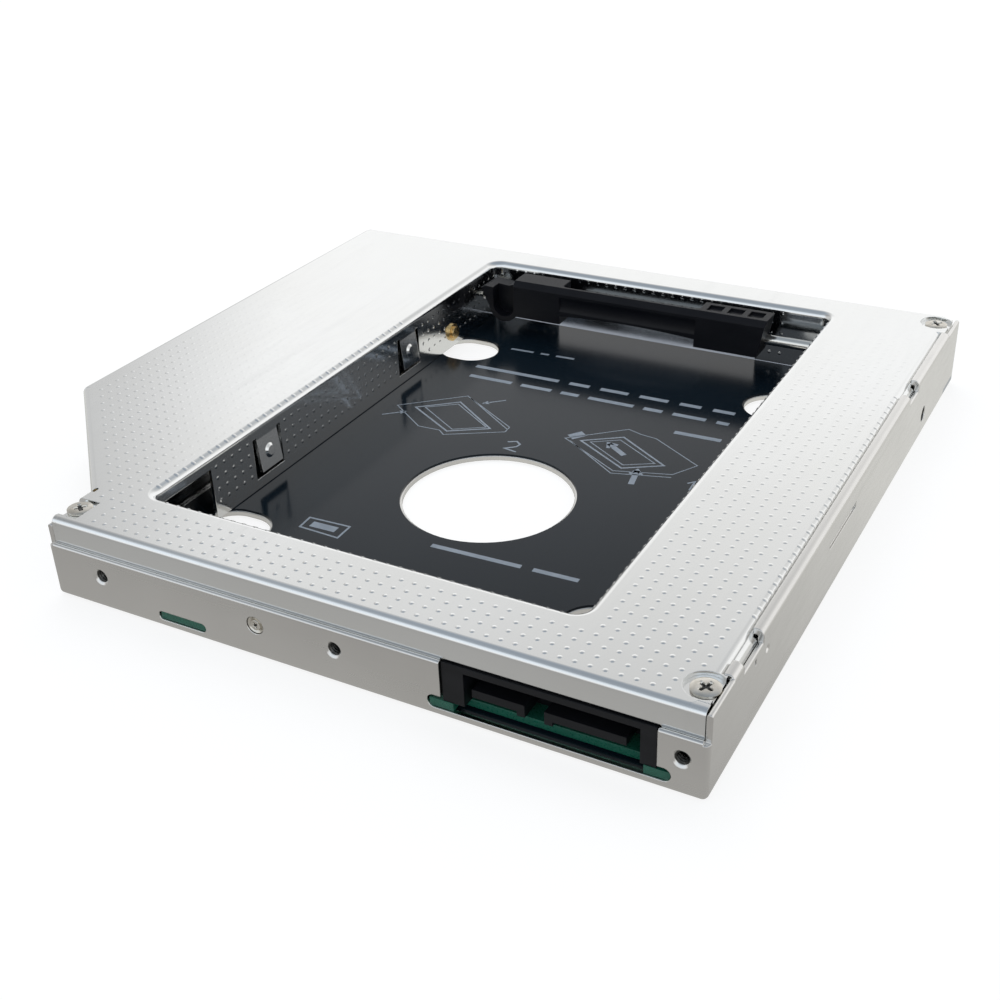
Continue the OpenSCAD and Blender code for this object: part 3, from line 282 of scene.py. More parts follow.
barLook = {
    "tone": (0.0045, 0.005, 0.0075), "toneWorn": (0.0075, 0.008, 0.0105), "flowScale": 160.0,
    "grainScale": 4200.0, "grainStrength": 0.45, "grainDepth": 0.000015,
    "roughLow": 0.36, "roughHigh": 0.48, "edge": 0.00014, "gloss": 0.18,
}
ceramicLook = {
    "tone": (0.36, 0.25, 0.15), "toneWorn": (0.3, 0.2, 0.12), "flowScale": 900.0,
    "grainScale": 7000.0, "grainStrength": 0.3, "grainDepth": 0.00001,
    "roughLow": 0.4, "roughHigh": 0.55, "edge": 0.00008,
}
brassLook = {
    "tone": (0.82, 0.62, 0.30), "toneWorn": (0.62, 0.43, 0.20), "stainScale": 420.0,
    "lineScale": 3800.0, "lineStretch": (0.15, 1.0, 1.0), "lineStrength": 0.25, "lineDepth": 0.00001,
    "roughLow": 0.2, "roughHigh": 0.34, "edge": 0.00015,
}
goldLook = {
    "tone": (0.92, 0.70, 0.33), "toneWorn": (0.80, 0.58, 0.26), "stainScale": 700.0,
    "lineScale": 5200.0, "lineStretch": (1.0, 0.1, 1.0), "lineStrength": 0.15, "lineDepth": 0.000005,
    "roughLow": 0.16, "roughHigh": 0.28, "edge": 0.00003,
}
nickelLook = {
    "tone": (0.76, 0.735, 0.68), "toneWorn": (0.55, 0.52, 0.46), "stainScale": 650.0,
    "lineScale": 3500.0, "lineStretch": (1.0, 1.0, 0.3), "lineStrength": 0.08, "lineDepth": 0.00001,
    "roughLow": 0.16, "roughHigh": 0.26, "edge": 0.00005,
}
# painted shade: a darker steel for the faces deep in the screw recesses and for the threads inside the tapped
# holes
shadeLook = {
    "tone": (0.17, 0.165, 0.155), "toneWorn": (0.08, 0.08, 0.076), "stainScale": 650.0,
    "lineScale": 3500.0, "lineStretch": (1.0, 1.0, 1.0), "lineStrength": 0.3, "lineDepth": 0.00001,
    "roughLow": 0.3, "roughHigh": 0.45, "edge": 0.00004,
}
rodLook = {
    "tone": (0.82, 0.81, 0.77), "toneWorn": (0.74, 0.73, 0.69), "stainScale": 160.0,
    "lineScale": 5000.0, "lineStretch": (1.0, 0.06, 0.06), "lineStrength": 0.06, "lineDepth": 0.000006,
    "roughLow": 0.1, "roughHigh": 0.17, "edge": 0.0002,
}

coverMetal = sheetMetal("coverMetal", coverLook)
dimpleMetal = sheetMetal("dimpleMetal", dimpleLook)
trayMetal = sheetMetal("trayMetal", trayLook)
filmPlastic = mouldedPlastic("filmPlastic", filmLook)
printInk = mouldedPlastic("printInk", printLook)
solderMask = mouldedPlastic("solderMask", boardLook)
connectorPlastic = mouldedPlastic("connectorPlastic", connectorLook)
barPlastic = mouldedPlastic("barPlastic", barLook)
ceramic = mouldedPlastic("ceramic", ceramicLook)
brass = turnedMetal("brass", brassLook)
goldPlate = turnedMetal("goldPlate", goldLook)
nickel = turnedMetal("nickel", nickelLook)
groundSteel = turnedMetal("groundSteel", rodLook)
paintedShadeSteel = turnedMetal("paintedShadeSteel", shadeLook)

nodeFinish = {
    "bottom_tray": trayMetal, "floor_film": filmPlastic, "top_cover": coverMetal,
    "circuit_board": solderMask, "slim_plug_housing": connectorPlastic,
    "slim_plug_contacts": goldPlate, "drive_socket_housing": connectorPlastic,
    "drive_socket_signal_contacts": goldPlate, "drive_socket_power_contacts": goldPlate,
    "board_capacitors": ceramic, "board_regulator": connectorPlastic, "board_standoffs": brass,
    "near_left_post": brass, "near_right_post": brass, "far_right_post": brass, "wall_nut": brass,
    "locating_stud": brass, "retainer_bar": barPlastic, "retainer_rod": groundSteel,
}
for nodeName, finish in nodeFinish.items():
    nodes[nodeName].data.materials.clear()
    nodes[nodeName].data.materials.append(finish)
print("materials on", len(nodeFinish), "nodes")


# pressed dimples of the cover

dimple = {
    "pitch": 2.0, "radius": 0.44, "height": 0.075, "spokes": 8, "sunk": 0.02,
    "phaseAcross": 0.25, "phaseAlong": 0.95, "edgeMargin": 2.5, "bayMargin": 1.75,
    "wallFirst": 4.0, "wallLast": 10.0, "farShare": 0.16, "wingShare": 0.14, "wingNear": 0.8,
}
bay = {"right": 21.5, "left": 91.8, "near": 12.3, "far": 118.2, "wallNear": 25.7}
rimRuns = (
    {"across": True, "at": bay["near"] - 1.2, "radius": 1.2, "angle": 40,
     "from": 23.5, "to": 89.8, "tall": 1.3},
    {"across": False, "at": bay["right"] - 1.2, "radius": 1.2, "side": -1, "angle": 52,
     "from": 14.3, "to": 116, "tall": 1.3},
    {"across": False, "at": bay["left"] + 1.2, "radius": 1.2, "side": 1, "angle": 24,
     "from": 14.3, "to": 84, "tall": 0.8},
    {"across": False, "at": 2.6, "radius": 1.0, "side": 1, "angle": 24,
     "from": 19.5, "to": 89, "tall": 0.8},
)
coverEdge = {"right": 1.6, "near": 0.8, "bodyLeft": 101.3, "wingLeft": 128.0, "far": 126.0,
             "diagonalShift": 91.5}
screwSpots = {"nearRight": (2.65, 5.4), "farRight": (3.4, 122.0)}
fingers = {"centres": (39.9, 83.7), "half": 4.1}
stud = {"along": 99.8, "height": 4.2, "keepOff": 2.3}
guide = {"from": 112.0, "to": 118.6, "low": 5.6, "high": 9.4}
window = {"right": 35.0, "left": 78.1, "top": 6.4}


def domeShape():
    # z = h (1 - q^2)^2 over the radius q = 0..1, closed underneath by a flat fan
    q = np.array([0.4, 0.72, 1.0])
    turn = np.arange(dimple["spokes"]) * 2 * math.pi / dimple["spokes"]
    rise = dimple["height"] * (1 - q ** 2) ** 2 - dimple["sunk"] * (q == 1.0)
    out = q[:, None] * dimple["radius"]
    rings = np.stack([out * np.cos(turn), out * np.sin(turn),
                      np.repeat(rise[:, None], len(turn), 1)], -1).reshape(-1, 3)
    count = len(turn)
    points = np.concatenate([rings, [[0, 0, dimple["height"]], [0, 0, -dimple["sunk"]]]]) * mm
    faces = gridFaces(len(q), count)[:, ::-1].tolist()
    top, foot = len(rings), len(rings) + 1
    faces += [[j, (j + 1) % count, top] for j in range(count)]
    last = (len(q) - 1) * count
    faces += [[last + (j + 1) % count, last + j, foot] for j in range(count)]
    return points, faces


def stampedShape(unit, centres, outward, across, tall=1.0):
    # each copy: centre + x across + y (outward x across) + tall z outward
    points, faces = unit
    tall = np.broadcast_to(tall, len(centres))[:, None, None]
    outward = np.broadcast_to(outward, centres.shape)
    across = np.broadcast_to(across, centres.shape)
    third = np.cross(outward, across)
    placed = (centres[:, None] + points[None, :, :1] * across[:, None] + points[None, :, 1:2] * third[:, None]
              + points[None, :, 2:] * outward[:, None] * tall)
    sizes = [len(points)] * len(centres)
    starts = np.concatenate([[0], np.cumsum(sizes)[:-1]]).astype(int)
    everyFace = [[v + start for v in face] for start in starts.tolist() for face in faces]
    return placed.reshape(-1, 3), everyFace


def latticeNear(low, high, phase):
    first = math.ceil((low - phase) / dimple["pitch"])
    last = math.floor((high - phase) / dimple["pitch"])
    return phase + dimple["pitch"] * np.arange(first, last + 1)


def topDimples():
    d = latticeNear(coverEdge["right"] + 1.2, coverEdge["wingLeft"] - 2.0, dimple["phaseAcross"])
    e = latticeNear(coverEdge["near"] + 1.9, coverEdge["far"] - 2.0, dimple["phaseAlong"])
    d, e = np.meshgrid(d, e, indexing="ij")
    d, e = d.ravel(), e.ravel()
    keep = (d < coverEdge["bodyLeft"] - 2.0) | (e > d - coverEdge["diagonalShift"] + 2.4)
    inBay = ((d > bay["right"] - dimple["bayMargin"]) & (d < bay["left"] + dimple["bayMargin"])
             & (e > bay["near"] - dimple["bayMargin"]) & (e < bay["far"] + dimple["bayMargin"]))
    keep &= ~inBay
    for sd, se in screwSpots.values():
        keep &= np.hypot(d - sd, e - se) > 3.4
    keep &= ~((d > 96.2) & (e > 1.2) & (e < 8.2))
    top = (coverHigh.z - trayLow.z) / mm
    # pressed less and less deep towards the far end, hardly at all on the wing
    tall = 1 - (1 - dimple["farShare"]) * np.clip(e / 105, 0, 1) ** 1.3
    nearWing = np.clip((26 + 1.32 * (d - 96) - e) / 8, 0, 1)
    wing = dimple["wingShare"] + (dimple["wingNear"] - dimple["wingShare"]) * nearWing
    tall = np.where((d > bay["left"]) & (e > 9), np.minimum(tall, wing), tall)
    return stampedShape(domeShape(), spot(d[keep], e[keep], top), np.array([0.0, 0.0, 1.0]),
                        np.array([1.0, 0.0, 0.0]), tall[keep])


def rimDimples():
    # on rounded folds: centre of the fold + r (sin a, cos a), pointing the same way
    shapes = []
    top = (coverHigh.z - trayLow.z) / mm
    for run in rimRuns:
        s, c = math.sin(math.radians(run["angle"])), math.cos(math.radians(run["angle"]))
        r, phase = run["radius"], dimple["phaseAcross"] if run["across"] else dimple["phaseAlong"]
        along = latticeNear(run["from"], run["to"], phase)
        if run["across"]:
            centres = spot(along, run["at"] + r * s, top - r + r * c)
            way, line = np.array([0.0, s, c]), np.array([1.0, 0.0, 0.0])
        else:
            centres = spot(run["at"] - run["side"] * r * s, along, top - r + r * c)
            way, line = np.array([run["side"] * s, 0.0, c]), np.array([0.0, 1.0, 0.0])
        shapes.append(stampedShape(domeShape(), centres, way, line, run["tall"]))
    return joinShapes(shapes)


def wallDimples():
    heights = latticeNear(dimple["wallFirst"] - 0.1, dimple["wallLast"] + 0.1, 0.0)
    shapes = []
    # left inner wall, facing the bay
    along = latticeNear(bay["wallNear"] + 0.8, bay["far"] - 1.0, 1.0)
    e, z = (a.ravel() for a in np.meshgrid(along, heights))
    keep = np.ones(len(e), bool)
    for centre in fingers["centres"]:
        keep &= ~((np.abs(e - centre) < fingers["half"]) & (z < 10.4))
    keep &= np.hypot(e - stud["along"], z - stud["height"]) > stud["keepOff"]
    keep &= ~((e > guide["from"]) & (z > guide["low"]) & (z < guide["high"]))
    shapes.append(stampedShape(domeShape(), spot(bay["left"], e[keep], z[keep]), np.array([1.0, 0, 0]),
                               np.array([0, 1.0, 0])))
    # right inner wall
    e, z = (a.ravel() for a in np.meshgrid(latticeNear(bay["near"] + 2.6, bay["far"] - 1.0, 1.0), heights))
    keep = np.hypot(e - stud["along"], z - stud["height"]) > stud["keepOff"]
    keep &= ~((e > guide["from"]) & (z > guide["low"]) & (z < guide["high"]))
    shapes.append(stampedShape(domeShape(), spot(bay["right"], e[keep], z[keep]), np.array([-1.0, 0, 0]),
                               np.array([0, 1.0, 0])))
    # far inner wall, above its window
    d, z = (a.ravel() for a in np.meshgrid(latticeNear(bay["right"] + 8.0, bay["left"] - 4.0, 0.7),
                                           np.array([3.2, 5.2, 7.2, 9.2, 11.2])))
    keep = (z > window["top"] + 0.5) | (d < window["right"] - 0.5) | (d > window["left"] + 0.5)
    shapes.append(stampedShape(domeShape(), spot(d[keep], bay["far"], z[keep]), np.array([0, -1.0, 0]),
                               np.array([1.0, 0, 0])))
    return joinShapes(shapes)


makePiece("coverDimples", topDimples(), dimpleMetal, sharpAngle=75)
makePiece("innerWallDimples", wallDimples(), dimpleMetal, sharpAngle=75)
makePiece("openingRimDimples", rimDimples(), dimpleMetal, sharpAngle=75)
print("dimples pressed")


# bent tabs of the cover: flange ends at the near corners, sloping lips in the two catch notches

tabs = {"sheet": 0.5, "proud": -0.008, "foot": 7.4, "fold": 1.0, "reach": 2.35, "steps": 9,
        "nearRight": (0.9, 3.3), "nearLeft": (98.8, 100.45), "notches": ((11.0, 18.9), (89.5, 96.5)),
        "lip": ((1.66, 12.05), (1.42, 11.92), (1.18, 11.6), (1.0, 11.25), (0.83, 10.8)), "lipSheet": 0.25}


def carriedShape(profile, ends, along):
    # closed profile (a, b) carried straight from one end to the other: p(t) = (t, a, b) or (a, t, b)
    t = np.linspace(ends[0], ends[1], 5)[:, None]
    a, b = profile[None, :, 0] + 0 * t, profile[None, :, 1] + 0 * t
    t = t + 0 * a
    return tubeShape(spot(t, a, b) if along == "width" else spot(a, t, b))


def cornerTab(ends):
    # upright part, then a quarter circle of the fold radius, then flat: the flange's own section
    top, turn = (coverHigh.z - trayLow.z) / mm, np.linspace(0, math.pi / 2, tabs["steps"])
    face = (coverLow.y - trayLow.y) / mm

    def side(grown):
        r = tabs["fold"] + grown
        centre = np.array([face + tabs["fold"], top - tabs["fold"]])
        arc = np.stack([centre[0] - r * np.cos(turn), centre[1] + r * np.sin(turn)], -1)
        return np.concatenate([[[face - grown, tabs["foot"]]], arc, [[tabs["reach"], top + grown]]])

    profile = np.concatenate([side(tabs["proud"]), side(-tabs["sheet"])[::-1]])
    return carriedShape(profile, ends, "width")


def notchLip(ends):
    upper = np.array(tabs["lip"])
    lower = upper[::-1] - (0.0, tabs["lipSheet"])
    return carriedShape(np.concatenate([upper, lower]), ends, "length")


makePiece("coverCornerTabs", joinShapes([cornerTab(tabs["nearRight"]), cornerTab(tabs["nearLeft"])]),
          coverMetal, sharpAngle=40)
makePiece("coverNotchLips", joinShapes([notchLip(ends) for ends in tabs["notches"]]), coverMetal,
          sharpAngle=60)
print("tabs bent")


# screws with cross recess and cut thread

screwLook = {
    "grid": 45, "armHalf": 0.17, "armReach": 0.58, "armSoft": 0.08, "recessShare": 0.8, "crown": 0.3,
    "ringFrom": 0.6, "ringTo": 0.7, "ringLow": 0.15, "ringHigh": 0.75,
    "threadPitch": 0.4, "threadDeep": 0.11, "threadRings": 34,
}


def screwShape(headRadius, headHigh, shankRadius, shankLong, ringed=False):
    # head top: square (u, v) pulled to a disc, x = u sqrt(1 - v^2/2), y = v sqrt(1 - u^2/2);
    # crown falls as q^4, recess is the higher of two soft boxes; shank r = R - p |2 frac(z/P + t/2pi) - 1|
    look = screwLook
    n = look["grid"]
    line = np.linspace(-1, 1, n)
    u, v = np.meshgrid(line, line, indexing="ij")
    x, y = u * np.sqrt(1 - v ** 2 / 2), v * np.sqrt(1 - u ** 2 / 2)
    q = np.hypot(x, y)

    def softBox(a, b):
        along = np.clip((look["armReach"] - np.abs(a)) / look["armSoft"] / 2, 0, 1)
        over = np.clip((look["armHalf"] - np.abs(b)) / look["armSoft"], 0, 1)
        return along * over

    scale = look["ringFrom"] if ringed else 1.0
    cross = np.maximum(softBox(x / scale, y / scale), softBox(y / scale, x / scale))
    z = headHigh * (1 - look["crown"] * q ** 4) - headHigh * look["recessShare"] * cross
    if ringed:
        # outside the small head: a groove, then a cone that rises to the rim
        climb = (look["ringHigh"] - look["ringLow"]) / (1 - look["ringTo"])
        cone = look["ringLow"] + climb * (q - look["ringTo"])
        fall = np.clip((q - look["ringFrom"]) / (look["ringTo"] - look["ringFrom"]), 0, 1)
        z = z * (1 - fall) + headHigh * np.maximum(cone, look["ringLow"]) * fall
    top = np.stack([x * headRadius, y * headRadius, z], -1)
    index = np.arange(n * n).reshape(n, n)
    rim = np.concatenate([index[:-1, 0], index[-1, :-1], index[:0:-1, -1], index[0, :0:-1]])
    faces = gridFaces(n, n, wrapCols=False)[:, ::-1].tolist()
    turn = np.arctan2(top.reshape(-1, 3)[rim, 1], top.reshape(-1, 3)[rim, 0])
    profile = [(1.0, headHigh * 0.55), (1.0, headHigh * 0.12), (0.95, 0.0)]
    rings = [np.stack([headRadius * r * np.cos(turn), headRadius * r * np.sin(turn),
                       np.full(len(turn), h)], -1) for r, h in profile]
    down = np.linspace(0, -shankLong, look["threadRings"])
    frac = (down[:, None] / look["threadPitch"] + turn / (2 * math.pi)) % 1.0
    radius = shankRadius - look["threadDeep"] * np.abs(2 * frac - 1)
    radius[0] = shankRadius
    radius[-1] = shankRadius - look["threadDeep"]
    rings += list(np.stack([radius * np.cos(turn), radius * np.sin(turn),
                            np.repeat(down[:, None], len(turn), 1)], -1))
    rings = np.stack(rings)
    points = np.concatenate([top.reshape(-1, 3), rings.reshape(-1, 3), [[0, 0, -shankLong]]])
    start, count = n * n, len(rim)
    nextRim = np.roll(np.arange(count), -1)
    faces += np.stack([rim, start + np.arange(count), start + nextRim, rim[nextRim]], -1).tolist()
    faces += (gridFaces(len(rings), count)[:, ::-1] + start).tolist()
    last = start + (len(rings) - 1) * count
    tip = len(points) - 1
    faces += np.stack([last + nextRim, last + np.arange(count), np.full(count, tip)], -1).tolist()
    # faces deep in the cross recess get the second material, the darker steel: painted shade
    shade = np.zeros(len(faces), int)
    paintedShading = (cross[:-1, :-1] + cross[1:, 1:] + cross[:-1, 1:] + cross[1:, :-1]).ravel() > 2.2
    shade[:len(paintedShading)] = paintedShading
    return points * mm, faces, shade


def turnedShape(shape, spin, tilt=None):
    points, faces, shade = shape
    c, s = math.cos(spin), math.sin(spin)
    points = points @ np.array([[c, s, 0], [-s, c, 0], [0, 0, 1.0]])
    if tilt is not None:
        points = points @ tilt
    return points, faces, shade


def movedShape(shape, centre):
    return (shape[0] + np.asarray(centre), *shape[1:])


def makeScrews(name, shapes, *replaced):
    points, faces = joinShapes([shape[:2] for shape in shapes])
    piece = makePiece(name, (points, faces), nickel, sharpAngle=38)
    # the recess faces take the darker steel: painted shade
    piece.data.materials.append(paintedShadeSteel)
    piece.data.polygons.foreach_set("material_index", np.concatenate([shape[2] for shape in shapes]))
    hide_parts(*replaced)


def upScrew(name, node, headHigh, spin):
    low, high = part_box(node)
    radius = (high.x - low.x) / 2 / mm
    seat = high.z - headHigh * mm
    shape = screwShape(radius, headHigh, 0.9, (seat - low.z) / mm)
    centre = ((low.x + high.x) / 2, (low.y + high.y) / 2, seat)
    makeScrews(name, [movedShape(turnedShape(shape, spin), centre)], node)


upScrew("nearLeftCrossScrew", "near_left_screw", 0.5, math.radians(52))
upScrew("nearRightCrossScrew", "near_right_screw", 0.5, math.radians(66))
upScrew("farRightCrossScrew", "far_right_screw", 0.5, math.radians(35))

low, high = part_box("wall_screw")
towardNear = np.array([[1.0, 0, 0], [0, 0, 1.0], [0, -1.0, 0]])
wallShape = screwShape((high.x - low.x) / 2 / mm, 0.5, 0.9, (high.y - low.y) / mm - 0.5, ringed=True)
wallCentre = ((low.x + high.x) / 2, low.y + 0.5 * mm, (low.z + high.z) / 2)
wallShape = movedShape(turnedShape(wallShape, 0.5, towardNear), wallCentre)
makeScrews("nearWallCrossScrew", [wallShape], "wall_screw")

low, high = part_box("board_screws")
boardHead = 1.75
boardShape = screwShape(boardHead, 0.6, 0.9, (high.z - low.z) / mm - 0.6)
makeScrews("boardCrossScrews", [
    movedShape(turnedShape(boardShape, 0.3), (x, (low.y + high.y) / 2, high.z - 0.6 * mm))
    for x in (low.x + boardHead * mm, high.x - boardHead * mm)], "board_screws")
print("screws cut")


# threads inside the tapped holes of the near wall

tapped = {"fromRight": (3.3, 51.8, 91.9), "height": 5.4, "start": 0.45, "end": 1.8, "pitch": 0.4,
          "root": 0.955, "crest": 0.80, "turns": 40, "rings": 30}


def threadSleeve(fromRight):
    # r = crest + (root - crest) |2 frac(y/P + t/2pi) - 1|, with a skin just inside the wall of the hole
    t = np.arange(tapped["turns"]) * 2 * math.pi / tapped["turns"]
    y = np.linspace(tapped["start"], tapped["end"], tapped["rings"])
    frac = (y[:, None] / tapped["pitch"] + t / (2 * math.pi)) % 1.0
    r = tapped["crest"] + (tapped["root"] - 0.02 - tapped["crest"]) * np.abs(2 * frac - 1)
    r = np.concatenate([[np.full(len(t), tapped["root"])], r, [np.full(len(t), tapped["root"])]])
    y = np.concatenate([[tapped["start"]], y, [tapped["end"]]])
    rings = np.stack([r * np.cos(t), np.repeat(y[:, None], len(t), 1), r * np.sin(t)], -1) * mm
    faces = gridFaces(len(rings), len(t), wrapRows=True)
    return rings.reshape(-1, 3) + spot(fromRight, 0.0, tapped["height"]), faces


# the threads take the darker steel: painted shade inside the holes
makePiece("tappedHoleThreads", joinShapes([threadSleeve(d) for d in tapped["fromRight"]]), paintedShadeSteel,
          sharpAngle=30)
print("threads cut")


# print on the film: two step drawings, their numbers and plain bars where words would be

ink = {"low": -0.01, "high": 0.012, "fine": 0.2, "line": 0.34, "broad": 1.5, "patch": 1.9}
firstStep = {
    "tray": ((54.2, 73.7), (45.5, 81.3), (42.8, 80.4), (39.8, 80.0), (29.9, 73.9), (32.5, 69.4),
             (41.9, 66.5)),
    "edge": ((53.0, 73.2), (41.9, 65.6), (32.3, 68.4)),
    "patch": ((53.6, 74.4), (51.9, 76.6)),
    "frame": ((51.3, 74.0), (45.1, 78.2), (34.9, 71.6), (41.0, 67.9)),
    "opening": ((49.6, 74.2), (45.2, 77.0), (36.6, 71.7), (41.2, 69.0)),
}
secondStep = {
    "tray": ((87.8, 72.6), (77.9, 81.3), (64.9, 73.3), (64.8, 71.4), (74.2, 66.0), (75.7, 67.2),
             (79.9, 67.0)),
    "strip": ((76.9, 80.7), (64.9, 72.4)),
    "frame": ((84.3, 73.3), (77.9, 78.5), (67.8, 71.4), (74.3, 67.4)),
    "opening": ((82.7, 74.0), (77.8, 77.6), (68.7, 71.6), (73.8, 68.4)),
}
arrows = (((42.4, 72.2), (46.6, 75.1), 1.0), ((37.4, 63.6), (38.3, 68.4), 1.0),
          ((70.6, 82.6), (73.8, 79.8), 0.3), ((88.4, 68.2), (85.1, 71.0), 0.3))
digitTwo = ((62.6, 68.3), (61.2, 69.1), (60.2, 68.3), (60.4, 67.3), (62.0, 66.0), (59.6, 65.6))
digitOne = ((29.2, 67.7), (28.3, 68.7), (28.1, 65.7))
plainMark = ((79.0, 32.5), (71.6, 32.8), (71.5, 29.2), (78.8, 29.5))
plainBar = ((77.6, 31.0), (73.0, 31.1))
wordRows = (
    {"start": (57.4, 33.6), "end": (32.6, 34.4), "tall": 1.7, "words": (12, 6)},
    {"start": (38.2, 83.6), "end": (29.2, 83.9), "tall": 2.0, "words": (5,)},
    {"start": (82.2, 89.4), "end": (30.2, 90.2), "tall": 2.0, "words": (7, 5, 3, 7, 3, 5, 2)},
    {"start": (83.2, 93.6), "end": (30.6, 94.5), "tall": 2.0, "words": (12, 3, 4, 4, 3, 3)},
    {"start": (80.8, 103.6), "end": (67.0, 104.2), "tall": 1.2, "words": (5, 2, 4)},
)


def ribbonShape(path, width, closed):
    # box section carried along the path, its sides set off by half the width along the corner normals
    p = np.array(path, float)
    ahead = np.roll(p, -1, 0) - p
    behind = p - np.roll(p, 1, 0)
    if not closed:
        ahead[-1], behind[0] = behind[-1], ahead[0]
    ahead /= np.linalg.norm(ahead, axis=1)[:, None]
    behind /= np.linalg.norm(behind, axis=1)[:, None]
    normal = np.stack([-(ahead + behind)[:, 1], (ahead + behind)[:, 0]], -1)
    normal /= np.linalg.norm(normal, axis=1)[:, None]
    square = np.maximum(normal[:, 0] * -ahead[:, 1] + normal[:, 1] * ahead[:, 0], 0.4)
    side = normal * (width / 2 / square)[:, None]
    top, foot = (filmHigh.z - trayLow.z) / mm + ink["high"], (filmHigh.z - trayLow.z) / mm + ink["low"]
    left, right = p + side, p - side
    rings = np.stack([spot(left[:, 0], left[:, 1], top), spot(left[:, 0], left[:, 1], foot),
                      spot(right[:, 0], right[:, 1], foot), spot(right[:, 0], right[:, 1], top)], 1)
    if closed:
        return rings.reshape(-1, 3), gridFaces(len(p), 4, wrapRows=True).tolist()
    return tubeShape(rings)


def arrowShape(tail, head, width):
    t, h = np.array(tail), np.array(head)
    way = (h - t) / np.linalg.norm(h - t)
    neck = h - way * max(width * 1.5, 1.0)
    side = np.array([-way[1], way[0]])
    barbs = (neck + side * max(width, 0.5), h, neck - side * max(width, 0.5))
    return [ribbonShape((tail, neck), width, False), ribbonShape(barbs, width * 0.5 + 0.12, False),
            ribbonShape((neck - way * 0.1, h - way * 0.2), width, False)]


def wordBars(row):
    start, end = np.array(row["start"]), np.array(row["end"])
    units = sum(row["words"]) + 1.2 * (len(row["words"]) - 1)
    step = (end - start) / units
    at, shapes = 0.0, []
    for letters in row["words"]:
        shapes.append(ribbonShape((start + step * (at + 0.15), start + step * (at + letters - 0.15)),
                                  row["tall"] * 0.55, False))
        at += letters + 1.2
    return shapes


def filmPrint():
    shapes = []
    for drawing in (firstStep, secondStep):
        for part, path in drawing.items():
            width = {"frame": ink["line"], "patch": ink["patch"]}.get(part, ink["fine"])
            shapes.append(ribbonShape(path, width, part not in ("edge", "strip", "patch")))
    for tail, head, width in arrows:
        shapes += arrowShape(tail, head, width)
    shapes.append(ribbonShape(digitTwo, ink["line"], False))
    shapes.append(ribbonShape(digitOne, ink["line"], False))
    for row in wordRows:
        shapes += wordBars(row)
    shapes.append(ribbonShape(plainMark, ink["line"], True))
    shapes.append(ribbonShape(plainBar, ink["broad"], False))
    return joinShapes(shapes)


makePiece("filmPrint", filmPrint(), printInk, smooth=False)
print("film printed")


# stage, light and camera

stageLook = {"size": 3.0, "shadowShare": 0.26, "white": 1.1, "dimAt": -0.08, "brightAt": 0.02,
             "dim": (0.41, 0.405, 0.395), "bright": (0.74, 0.74, 0.715)}
worldLook = {
    "strength": 1.1,
    "behind": ((0.0, 1.0), (0.40, 1.0), (0.47, 0.93), (0.51, 0.83), (0.56, 0.78), (0.62, 0.65),
               (0.85, (0.33, 0.37, 0.42)), (1.0, (0.28, 0.32, 0.37))),
    "leftShare": 0.6, "leftRange": (-0.67, -0.585),
    "front": ((0.0, 0.4), (0.12, 0.85), (0.3, (0.9, 0.95, 1.0)), (0.6, (0.8, 0.87, 0.95)),
              (0.8, (0.33, 0.37, 0.42))),
    "frontRange": (-0.5, -0.15),
}


def stops(tree, source, tones):
    # grey ramp through the given (place, tone) stops
    ramp = tree.nodes.new("ShaderNodeValToRGB")
    while len(ramp.color_ramp.elements) < len(tones):
        ramp.color_ramp.elements.new(0.5)
    for element, (place, tone) in zip(ramp.color_ramp.elements, tones):
        element.position = place
        element.color = (tone[0], tone[1], tone[2], 1) if isinstance(tone, tuple) else (tone, tone, tone, 1)
    tree.links.new(source, ramp.inputs["Fac"])
    return ramp.outputs["Color"]


def mixShaders(tree, factor, first, second):
    mix = tree.nodes.new("ShaderNodeMixShader")
    if isinstance(factor, float):
        mix.inputs["Fac"].default_value = factor
    else:
        tree.links.new(factor, mix.inputs["Fac"])
    tree.links.new(first, mix.inputs[1])
    tree.links.new(second, mix.inputs[2])
    return mix.outputs["Shader"]


def makeFloor():
    # one large square under the case: white with a share of its own shading for the camera,
    # a pale grey that brightens away from the camera in reflections
    half = stageLook["size"] / 2
    z = trayLow.z - 0.0002
    mesh = bpy.data.meshes.new("floor")
    corners = [(-half, -half, z), (half, -half, z), (half, half, z), (-half, half, z)]
    mesh.from_pydata(corners, [], [(0, 1, 2, 3)])
    floor = bpy.data.objects.new("floor", mesh)
    bpy.context.scene.collection.objects.link(floor)
    material = bpy.data.materials.new("paleFloor")
    material.use_nodes = True
    tree = material.node_tree
    tree.nodes.clear()
    ray = tree.nodes.new("ShaderNodeLightPath")
    plain = tree.nodes.new("ShaderNodeEmission")
    plain.inputs["Strength"].default_value = stageLook["white"]
    lit = tree.nodes.new("ShaderNodeBsdfDiffuse")
    lit.inputs["Color"].default_value = (0.95, 0.95, 0.95, 1)
    place = tree.nodes.new("ShaderNodeTexCoord")
    split = tree.nodes.new("ShaderNodeSeparateXYZ")
    tree.links.new(place.outputs["Object"], split.inputs["Vector"])
    away = between(tree, split.outputs["Y"], 0.0, 1.0, stageLook["dimAt"], stageLook["brightAt"])
    mirrored = tree.nodes.new("ShaderNodeEmission")
    tree.links.new(mixTones(tree, away, stageLook["dim"], stageLook["bright"]), mirrored.inputs["Color"])
    seen = mixShaders(tree, stageLook["shadowShare"], plain.outputs["Emission"], lit.outputs["BSDF"])
    other = mixShaders(tree, ray.outputs["Is Glossy Ray"], lit.outputs["BSDF"], mirrored.outputs["Emission"])
    side = tree.nodes.new("ShaderNodeNewGeometry")
    clear = tree.nodes.new("ShaderNodeBsdfTransparent")
    upper = mixShaders(tree, ray.outputs["Is Camera Ray"], other, seen)
    out = tree.nodes.new("ShaderNodeOutputMaterial")
    tree.links.new(mixShaders(tree, side.outputs["Backfacing"], upper, clear.outputs["BSDF"]),
                   out.inputs["Surface"])
    mesh.materials.append(material)


